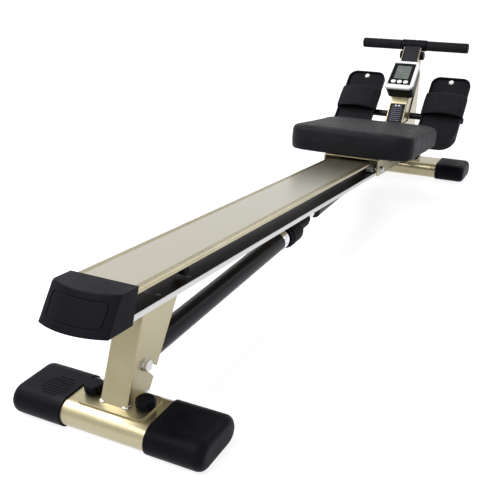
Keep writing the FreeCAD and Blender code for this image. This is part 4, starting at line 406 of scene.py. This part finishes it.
LOOKS = {
    "champagne_paint": champagne()[0],
    "rail_paint": rail_paint(),
    "black_plastic": moulded("black_plastic", BLACK_PLASTIC),
    "pedal_plastic": moulded("pedal_plastic", rgb(0.0075, 0.0075, 0.0095), (0.48, 0.62), 0.0012, 0.0002),
    "console_black": moulded("console_black", rgb(0.007, 0.007, 0.009), (0.25, 0.35), 0.0007, 0.00005),
    "black_paint": gloss_black("black_paint"),
    "zinc_steel": metal("zinc_steel", rgb(0.70, 0.70, 0.71), (0.20, 0.34)),
    "chrome_plate": metal("chrome_plate", rgb(0.82, 0.82, 0.83), (0.06, 0.14)),
    "seat_cover": vinyl(),
    "grip_foam": foam(),
    "stop_rubber": moulded("stop_rubber", rgb(0.015, 0.015, 0.015), (0.7, 0.85), 0.0006, 0.0001),
    "trim_black": ribbed_plate(),
    "roller_nylon": pale_plastic("roller_nylon", rgb(0.78, 0.77, 0.73), (0.35, 0.5)),
    "rivet_white": pale_plastic("rivet_white", rgb(0.92, 0.92, 0.92), (0.25, 0.35)),
    "silver_plastic": pale_plastic("silver_plastic", rgb(0.92, 0.92, 0.93), (0.28, 0.38)),
    "button_white": pale_plastic("button_white", rgb(0.92, 0.92, 0.92), (0.3, 0.4)),
    "screen_glass": display(),
    "strap_web": webbing(),
}


def dress(obj, look):
    """Give an object one material."""
    obj.data.materials.clear()
    obj.data.materials.append(look.material)


for subpart in frame["record"]["subparts"]:
    node = subpart["node"]
    look_name = "rail_paint" if node == "rail_beam" else subpart["material_slot"]
    dress(NODES[node], LOOKS[look_name])


# ---------------------------------------------------------------- mesh helpers
def new_object(name, mesh_data):
    """An object of a mesh, lamp or camera, linked into the scene."""
    obj = bpy.data.objects.new(name, mesh_data)
    bpy.context.scene.collection.objects.link(obj)
    return obj


def mesh_object(name, spots, faces):
    """A smooth mesh from its points and faces."""
    data = bpy.data.meshes.new(name)
    data.from_pydata([tuple(spot) for spot in spots], [], faces)
    data.validate()
    data.shade_smooth()
    return new_object(name, data)


def skin(rings):
    """Faces between closed rings of equal length."""
    count = len(rings[0])
    faces = []
    for step in range(len(rings) - 1):
        for index in range(count):
            beside = (index + 1) % count
            faces.append((step * count + index, step * count + beside, (step + 1) * count + beside,
                          (step + 1) * count + index))
    return faces


def tube(name, path, radii, sides=10):
    """A round tube along a path of points, with a radius at each."""
    rings = []
    count = len(path)
    for index, (spot, radius) in enumerate(zip(path, radii)):
        before = path[max(index - 1, 0)]
        after = path[min(index + 1, count - 1)]
        heading = (after - before).normalized()
        across = heading.cross(Vector((0, 0, 1)))
        if across.length < 1e-6:
            across = heading.cross(Vector((0, 1, 0)))
        across.normalize()
        up = across.cross(heading)
        rings.append([spot + radius * (math.cos(turn) * across + math.sin(turn) * up)
                      for turn in (2 * math.pi * side / sides for side in range(sides))])
    spots = [spot for ring in rings for spot in ring]
    faces = skin(rings) + [tuple(reversed(range(sides))),
                           tuple((count - 1) * sides + side for side in range(sides))]
    return mesh_object(name, spots, faces)


def apply_modifiers(obj):
    """Fold the object's modifiers into its mesh."""
    graph = bpy.context.evaluated_depsgraph_get()
    data = bpy.data.meshes.new_from_object(obj.evaluated_get(graph))
    obj.modifiers.clear()
    obj.data = data
    data.shade_smooth()


# ---------------------------------------------------------------- seat cushion
SEAT_SHRINK = 2.4 * MM
SEAT_CAP = 2.6 * MM
SEAT_VOXEL = 4.5 * MM
SEAT_PRESSURE = 4.0
SEAT_STRETCH = 25
SEAT_BENDING = 4
SEAT_FRAMES = 20
SEAT_SMOOTHING = 8
SEAT_LEAST_CORNER = 8 * MM
SEAT_DROP = 13 * MM
SEAT_BOW = 6 * MM
SEAT_CORNERS = {"rear": 40 * MM, "front": 46 * MM}
SEAT_LEVELS = ((0.0, 3 * MM), (0.03, 0.8 * MM), (0.10, 0.0), (0.45, -1 * MM), (0.84, 0.0), (0.92, 1.2 * MM),
               (0.965, 4 * MM), (0.99, 9 * MM), (1.0, 17 * MM), (1.025, 55 * MM), (1.035, 110 * MM))


def rounded_loop(half_long, half_wide, rear_corner, front_corner, per_corner=12, per_side=12):
    """A rectangle about the middle with its own corner radii at the rear and the front."""
    corners = []
    for along, across, corner, start in ((1, -1, front_corner, -90), (1, 1, front_corner, 0),
                                         (-1, 1, rear_corner, 90), (-1, -1, rear_corner, 180)):
        corners.append([Vector((along * (half_long - corner) + corner * math.cos(turn),
                                across * (half_wide - corner) + corner * math.sin(turn), 0))
                        for turn in (math.radians(start + 90 * step / per_corner)
                                     for step in range(per_corner + 1))])
    loop = []
    for corner, following in zip(corners, corners[1:] + corners[:1]):
        loop += corner
        loop += [corner[-1].lerp(following[0], step / per_side) for step in range(1, per_side)]
    return loop


def seat_form():
    """The cushion before it is filled: a wedge with softened edges and a bowed rear, on the rail."""
    low, high = local_box("seat_pad", RAIL)
    middle = (low + high) / 2
    half_long = (high.x - low.x) / 2 - SEAT_SHRINK
    half_wide = (high.y - low.y) / 2 - SEAT_SHRINK
    thick = high.z - low.z
    rings = []
    for share, inset in SEAT_LEVELS:
        radii = [max(corner - inset / 2, SEAT_LEAST_CORNER) for corner in SEAT_CORNERS.values()]
        ring = []
        for spot in rounded_loop(half_long - inset, half_wide - inset, *radii):
            forward = (spot.x + half_long) / (2 * half_long)
            bow = SEAT_BOW * (1 - forward) * (1 - (spot.y / half_wide) ** 2)
            height = (thick - SEAT_DROP * forward) * share
            ring.append(RAIL @ Vector((middle.x + spot.x - bow, spot.y, low.z + height)))
        rings.append(ring)
    count = len(rings[0])
    spots = [spot for ring in rings for spot in ring]
    faces = skin(rings) + [tuple(reversed(range(count))),
                           tuple((len(rings) - 1) * count + index for index in range(count))]
    return mesh_object("seat_cushion", spots, faces), low.z


def inflate(cushion):
    """Air pressure inside the cover, run for a few frames and applied."""
    cloth = cushion.modifiers.new("Cloth", "CLOTH")
    settings = cloth.settings
    settings.use_pressure = True
    settings.uniform_pressure_force = SEAT_PRESSURE
    settings.effector_weights.gravity = 0.0
    settings.tension_stiffness = SEAT_STRETCH
    settings.compression_stiffness = SEAT_STRETCH
    settings.bending_stiffness = SEAT_BENDING
    cloth.point_cache.frame_start = 1
    cloth.point_cache.frame_end = SEAT_FRAMES
    for step in range(1, SEAT_FRAMES + 1):
        bpy.context.scene.frame_set(step)
    apply_modifiers(cushion)
    bpy.context.scene.frame_set(1)


def fill_cushion(cushion, floor_height):
    """Swell the cover, hold each point near its start, and keep the base flat on its board."""
    remesh = cushion.modifiers.new("Remesh", "REMESH")
    remesh.mode = "VOXEL"
    remesh.voxel_size = SEAT_VOXEL
    apply_modifiers(cushion)
    start = [vertex.co.copy() for vertex in cushion.data.vertices]
    inflate(cushion)
    inverse = RAIL.inverted()
    for vertex, home in zip(cushion.data.vertices, start):
        move = vertex.co - home
        if move.length > SEAT_CAP:
            move *= SEAT_CAP / move.length
        spot = inverse @ (home + move)
        spot.z = max(spot.z, floor_height)
        vertex.co = RAIL @ spot
    smooth = cushion.modifiers.new("Smooth", "SMOOTH")
    smooth.iterations = SEAT_SMOOTHING
    smooth.factor = 0.5
    subdivide = cushion.modifiers.new("Subdivide", "SUBSURF")
    subdivide.levels = 1
    subdivide.render_levels = 1
    apply_modifiers(cushion)


def seat_cushion():
    """The padded seat, shown in place of its CAD solid."""
    cushion, floor_height = seat_form()
    fill_cushion(cushion, floor_height)
    dress(cushion, LOOKS["seat_cover"])
    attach(cushion, "seat")
    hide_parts("seat_pad")


seat_cushion()


# ---------------------------------------------------------------- foot straps
STRAP_THICK = 3 * MM
STRAP_TUCK = 14 * MM
STRAP_LEG = 18 * MM
STRAP_SETTLE = 10 * MM
STRAP_WIDER = 5 * MM
STRAP_ARCH_STEPS = 40
STRAP_COLUMNS = 24
STRAP_PUFF = 1.0 * MM
STRAP_WAVE = 0.8 * MM
STRAP_WAVE_SIZE = 25 * MM
FLAP_THICK = 2.2 * MM
FLAP_SINK = 0.4 * MM
FLAP_WIDTH_SHARE = 0.94


def softened(path, rounds=3):
    """The path with its corners cut again and again until they are round."""
    for _ in range(rounds):
        cut = [path[0]]
        for start, end in zip(path, path[1:]):
            cut += [start.lerp(end, 0.25), start.lerp(end, 0.75)]
        path = cut + [path[-1]]
    return path


def strap_path(low, high):
    """The strap's middle line across the pedal: under one edge, up, over the foot and down again."""
    half = high.y - STRAP_THICK / 2
    base = low.z + STRAP_THICK / 2
    spring = base + STRAP_LEG
    rise = high.z - STRAP_SETTLE - STRAP_THICK / 2 - spring
    radius = (half ** 2 + rise ** 2) / (2 * rise)
    limit = math.asin(half / radius)
    arch = [Vector((0, radius * math.sin(turn), spring + rise - radius + radius * math.cos(turn)))
            for turn in (limit * (2 * step / STRAP_ARCH_STEPS - 1) for step in range(STRAP_ARCH_STEPS + 1))]
    under = [Vector((0, -half + STRAP_TUCK, base)), Vector((0, -half, base))]
    mirrored = [Vector((0, -spot.y, spot.z)) for spot in reversed(under)]
    return softened(under + arch + mirrored)


def strap_band(name, matrix, middle, half, path, thick, lift):
    """A flat woven band along a path, with rolled edges and a slightly puffed middle."""
    rings = []
    for index, spot in enumerate(path):
        heading = (path[min(index + 1, len(path) - 1)] - path[max(index - 1, 0)]).normalized()
        outward = Vector((0, -heading.z, heading.y))
        arch = max(0.0, outward.z)
        ring = []
        for layer in (1, -1):
            for column in range(STRAP_COLUMNS + 1):
                share = layer * (2 * column / STRAP_COLUMNS - 1)
                roll = 1 - abs(share) ** 12
                puff = STRAP_PUFF * arch * (1 - abs(share) ** 3)
                place = Vector((middle + share * half, 0, 0)) + spot
                wave = STRAP_WAVE * arch * noise.noise(place / STRAP_WAVE_SIZE) * (1 - share ** 4)
                depth = layer * thick / 2 * roll + puff + wave + lift
                ring.append(matrix @ (place + outward * depth))
        rings.append(ring)
    count = len(rings[0])
    spots = [spot for ring in rings for spot in ring]
    faces = skin(rings) + [tuple(reversed(range(count))),
                           tuple((len(rings) - 1) * count + index for index in range(count))]
    return mesh_object(name, spots, faces)


def strap(side):
    """The strap round one footplate, and the flap that is pressed down on it to close it."""
    matrix = PEDALS[side]
    node = f"pedal_strap_{side}"
    low, high = local_box(node, matrix)
    half = (high.x - low.x) / 2 + STRAP_WIDER
    middle = (low.x + high.x) / 2 + STRAP_WIDER
    path = strap_path(low, high)
    band = strap_band(f"foot_strap_{side}", matrix, middle, half, path, STRAP_THICK, 0.0)
    crown = [spot for spot in path if spot.z > low.z + STRAP_LEG + STRAP_THICK]
    flap_path = crown[len(crown) // 12:len(crown) * 5 // 8]
    flap = strap_band(f"strap_flap_{side}", matrix, middle, half * FLAP_WIDTH_SHARE, flap_path, FLAP_THICK,
                      (STRAP_THICK + FLAP_THICK) / 2 - FLAP_SINK)
    for piece in (band, flap):
        dress(piece, LOOKS["strap_web"])
        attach(piece, f"pedal_{side}")
    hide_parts(node)


for SIDE, _ in SIDES:
    strap(SIDE)


# ---------------------------------------------------------------- weld beads and small rivets
WELD_RADIUS = 2.2 * MM
WELD_STEP = 1.2 * MM
WELD_RIPPLE = 4.5 * MM
WELD_RIPPLE_DEPTH = 0.16
WELD_END = 0.45
WELD_TAPER = 0.3
WELD_SINK = 0.3
WELD_INSET = 1 * MM
WELD_REAR_RUN = 9 * MM
WELD_SIDE_RUN = 10 * MM
WELD_FRONT_RUN = 14 * MM
RIVET_RADIUS = 3.6 * MM
RIVET_RISE = 1.6 * MM
RIVET_DOWN = 7 * MM
RIVET_OFF_MIDDLE = 5 * MM
TRIM_RIB = 1.4 * MM


def weld(name, corners):
    """A rippled bead of weld along a few straight runs."""
    path = []
    for start, end in zip(corners, corners[1:]):
        steps = max(2, int((end - start).length / WELD_STEP))
        path += [start.lerp(end, step / steps) for step in range(steps)]
    path.append(corners[-1])
    radii = []
    travelled = 0.0
    for index, spot in enumerate(path):
        travelled += (spot - path[max(index - 1, 0)]).length
        ends = min(1.0, WELD_END + WELD_TAPER * min(index, len(path) - 1 - index))
        ripple = WELD_RIPPLE_DEPTH * math.sin(2 * math.pi * travelled / WELD_RIPPLE)
        radii.append(WELD_RADIUS * ends * (1 + ripple))
    bead = tube(name, path, radii, sides=12)
    dress(bead, LOOKS["zinc_steel"])
    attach(bead, "frame")


def leg_welds():
    """Short beads round the corners of the rear leg's foot, where it stands on its plate."""
    low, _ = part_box("rear_leg")
    foot = [vertex.co for vertex in NODES["rear_leg"].data.vertices if vertex.co.z < low[2] + 0.5 * MM]
    rear = min(spot.x for spot in foot)
    front = max(spot.x for spot in foot)
    wide = max(abs(spot.y) for spot in foot)
    height = low[2] + WELD_RADIUS * WELD_SINK
    for side, sign in SIDES:
        edge = sign * wide
        weld(f"leg_weld_rear_{side}", [Vector((rear, edge - sign * WELD_REAR_RUN, height)),
                                       Vector((rear + WELD_INSET, edge - sign * WELD_INSET, height)),
                                       Vector((rear + WELD_SIDE_RUN, edge, height))])
        weld(f"leg_weld_front_{side}", [Vector((front - WELD_FRONT_RUN, edge, height)),
                                        Vector((front, edge, height))])


leg_welds()


def dome(name, matrix, radius, rise, sides=20, levels=6):
    """A low rivet head on the plane z = 0 of a frame of its own."""
    rings = []
    for level in range(levels):
        turn = math.pi / 2 * level / levels
        ring = [matrix @ Vector((radius * math.cos(turn) * math.cos(around),
                                 radius * math.cos(turn) * math.sin(around), rise * math.sin(turn)))
                for around in (2 * math.pi * side / sides for side in range(sides))]
        rings.append(ring)
    spots = [spot for ring in rings for spot in ring] + [matrix @ Vector((0, 0, rise))]
    faces = skin(rings) + [tuple(reversed(range(sides)))]
    last = (levels - 1) * sides
    faces += [(last + side, last + (side + 1) % sides, levels * sides) for side in range(sides)]
    return mesh_object(name, spots, faces)


def trim_rivets():
    """Two small white rivets side by side at the head of the ribbed plate."""
    low, high = local_box("trim_plate", LEVER)
    corner = Matrix.Translation((low.x + TRIM_RIB, 0, high.z - RIVET_DOWN))
    face = LEVER @ corner @ Matrix.Rotation(-math.pi / 2, 4, "Y")
    for side, sign in SIDES:
        spot = face @ Matrix.Translation((0, sign * RIVET_OFF_MIDDLE, 0))
        rivet = dome(f"trim_rivet_{side}", spot, RIVET_RADIUS, RIVET_RISE)
        dress(rivet, LOOKS["rivet_white"])
        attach(rivet, "lever")


trim_rivets()


# ---------------------------------------------------------------- stage
FLOOR_SIZE = 60.0
SKY_LIGHT = 0.6
SKY_CEILING = 0.21
SKY_REAR = 0.35
SKY_CEILING_RISE = (0.15, 0.65)
SKY_REAR_REACH = (-0.85, -0.25)
FLOOR_COLOUR = rgb(0.50, 0.50, 0.55)
FLOOR_GLOW = 0.80
FLOOR_NEAR = 1.4
FLOOR_FAR = 4.0
LAMPS = {
    "key_light": {"spot": (-0.6, 1.5, 2.6), "target": (0, 0, 0.1), "size": (2.4, 1.4), "power": 78},
    "fill_light": {"spot": (-1.6, -2.6, 1.5), "target": (-0.3, 0, 0.15), "size": (2.2, 0.8), "power": 12},
    "rear_light": {"spot": (-2.4, 0.6, 2.4), "target": (0.6, 0, 0.3), "size": (1.6, 1.2), "power": 34},
    "front_light": {"spot": (2.2, -0.6, 1.8), "target": (0.6, 0, 0.2), "size": (1.6, 1.2), "power": 14},
}
CAMERA_SPOT = Vector((-1.508, -0.602, 0.699))
CAMERA_AZIMUTH = -63.47
CAMERA_ELEVATION = 22.97
CAMERA_LENS = 53.98
CAMERA_SENSOR = 36
CAMERA_REACH = 100


def math_node(tree, operation, one, two):
    """A Math node of two values, each a socket or a number."""
    node = tree.nodes.new("ShaderNodeMath")
    node.operation = operation
    for socket, value in zip(node.inputs, (one, two)):
        if isinstance(value, bpy.types.NodeSocket):
            tree.links.new(value, socket)
        else:
            socket.default_value = value
    return node.outputs[0]


def ramp_node(tree, value, low, high, to_low, to_high):
    """A clamped straight ramp from one range to another."""
    node = tree.nodes.new("ShaderNodeMapRange")
    tree.links.new(value, node.inputs["Value"])
    for name, amount in (("From Min", low), ("From Max", high), ("To Min", to_low), ("To Max", to_high)):
        node.inputs[name].default_value = amount
    return node.outputs["Result"]


def background_rays(tree):
    """1 for the rays that show the background: the camera's, and those seen in metal and glass."""
    paths = tree.nodes.new("ShaderNodeLightPath")
    mirrored = math_node(tree, "MAXIMUM", paths.outputs["Is Glossy Ray"],
                         paths.outputs["Is Transmission Ray"])
    return math_node(tree, "MAXIMUM", paths.outputs["Is Camera Ray"], mirrored)


def floor():
    """A pale floor that keeps the object's shadow and turns to plain white away from it."""
    data = bpy.data.meshes.new("floor")
    builder = bmesh.new()
    bmesh.ops.create_grid(builder, x_segments=1, y_segments=1, size=FLOOR_SIZE / 2)
    builder.to_mesh(data)
    builder.free()
    obj = new_object("floor", data)
    material = bpy.data.materials.new("floor_white")
    material.use_nodes = True
    tree = material.node_tree
    tree.nodes.clear()
    output = tree.nodes.new("ShaderNodeOutputMaterial")
    diffuse = tree.nodes.new("ShaderNodeBsdfDiffuse")
    diffuse.inputs["Color"].default_value = FLOOR_COLOUR
    away = tree.nodes.new("ShaderNodeVectorMath")
    away.operation = "LENGTH"
    tree.links.new(tree.nodes.new("ShaderNodeTexCoord").outputs["Object"], away.inputs[0])
    level = ramp_node(tree, away.outputs["Value"], FLOOR_NEAR, FLOOR_FAR, FLOOR_GLOW, 1.0)
    glow = tree.nodes.new("ShaderNodeEmission")
    glow.inputs["Color"].default_value = rgb(1, 1, 1)
    tree.links.new(math_node(tree, "MULTIPLY", background_rays(tree), level), glow.inputs["Strength"])
    both = tree.nodes.new("ShaderNodeAddShader")
    tree.links.new(diffuse.outputs[0], both.inputs[0])
    tree.links.new(glow.outputs[0], both.inputs[1])
    tree.links.new(both.outputs[0], output.inputs["Surface"])
    data.materials.append(material)


def world():
    """A white sweep; the light that it gives dims overhead and behind the camera."""
    sky = bpy.data.worlds.new("studio")
    bpy.context.scene.world = sky
    sky.use_nodes = True
    tree = sky.node_tree
    background = tree.nodes["Background"]
    background.inputs["Color"].default_value = rgb(1, 1, 1)
    split = tree.nodes.new("ShaderNodeSeparateXYZ")
    tree.links.new(tree.nodes.new("ShaderNodeTexCoord").outputs["Generated"], split.inputs[0])
    ceiling = ramp_node(tree, split.outputs["Z"], *SKY_CEILING_RISE, SKY_LIGHT, SKY_CEILING)
    rear = ramp_node(tree, split.outputs["X"], *SKY_REAR_REACH, SKY_REAR, 1.0)
    light = math_node(tree, "MULTIPLY", ceiling, rear)
    tree.links.new(math_node(tree, "MAXIMUM", light, background_rays(tree)), background.inputs["Strength"])


def softbox(name, spot, target, size, power):
    """A rectangular lamp that faces a point."""
    lamp = bpy.data.lights.new(name, "AREA")
    lamp.shape = "RECTANGLE"
    lamp.size, lamp.size_y = size
    lamp.energy = power
    obj = new_object(name, lamp)
    obj.location = spot
    obj.rotation_euler = (Vector(target) - Vector(spot)).to_track_quat("-Z", "Y").to_euler()


def camera():
    """The camera at the photograph's viewing angle."""
    data = bpy.data.cameras.new("camera")
    data.lens = CAMERA_LENS
    data.sensor_width = CAMERA_SENSOR
    data.clip_end = CAMERA_REACH
    obj = new_object("camera", data)
    azimuth, elevation = math.radians(CAMERA_AZIMUTH), math.radians(CAMERA_ELEVATION)
    look = Vector((-math.sin(azimuth) * math.cos(elevation), math.cos(azimuth) * math.cos(elevation),
                   -math.sin(elevation)))
    obj.location = CAMERA_SPOT
    obj.rotation_euler = look.to_track_quat("-Z", "Y").to_euler()
    bpy.context.scene.camera = obj


floor()
world()
for LAMP_NAME, LAMP in LAMPS.items():
    softbox(LAMP_NAME, **LAMP)
camera()
bpy.context.scene.view_settings.view_transform = "Standard"
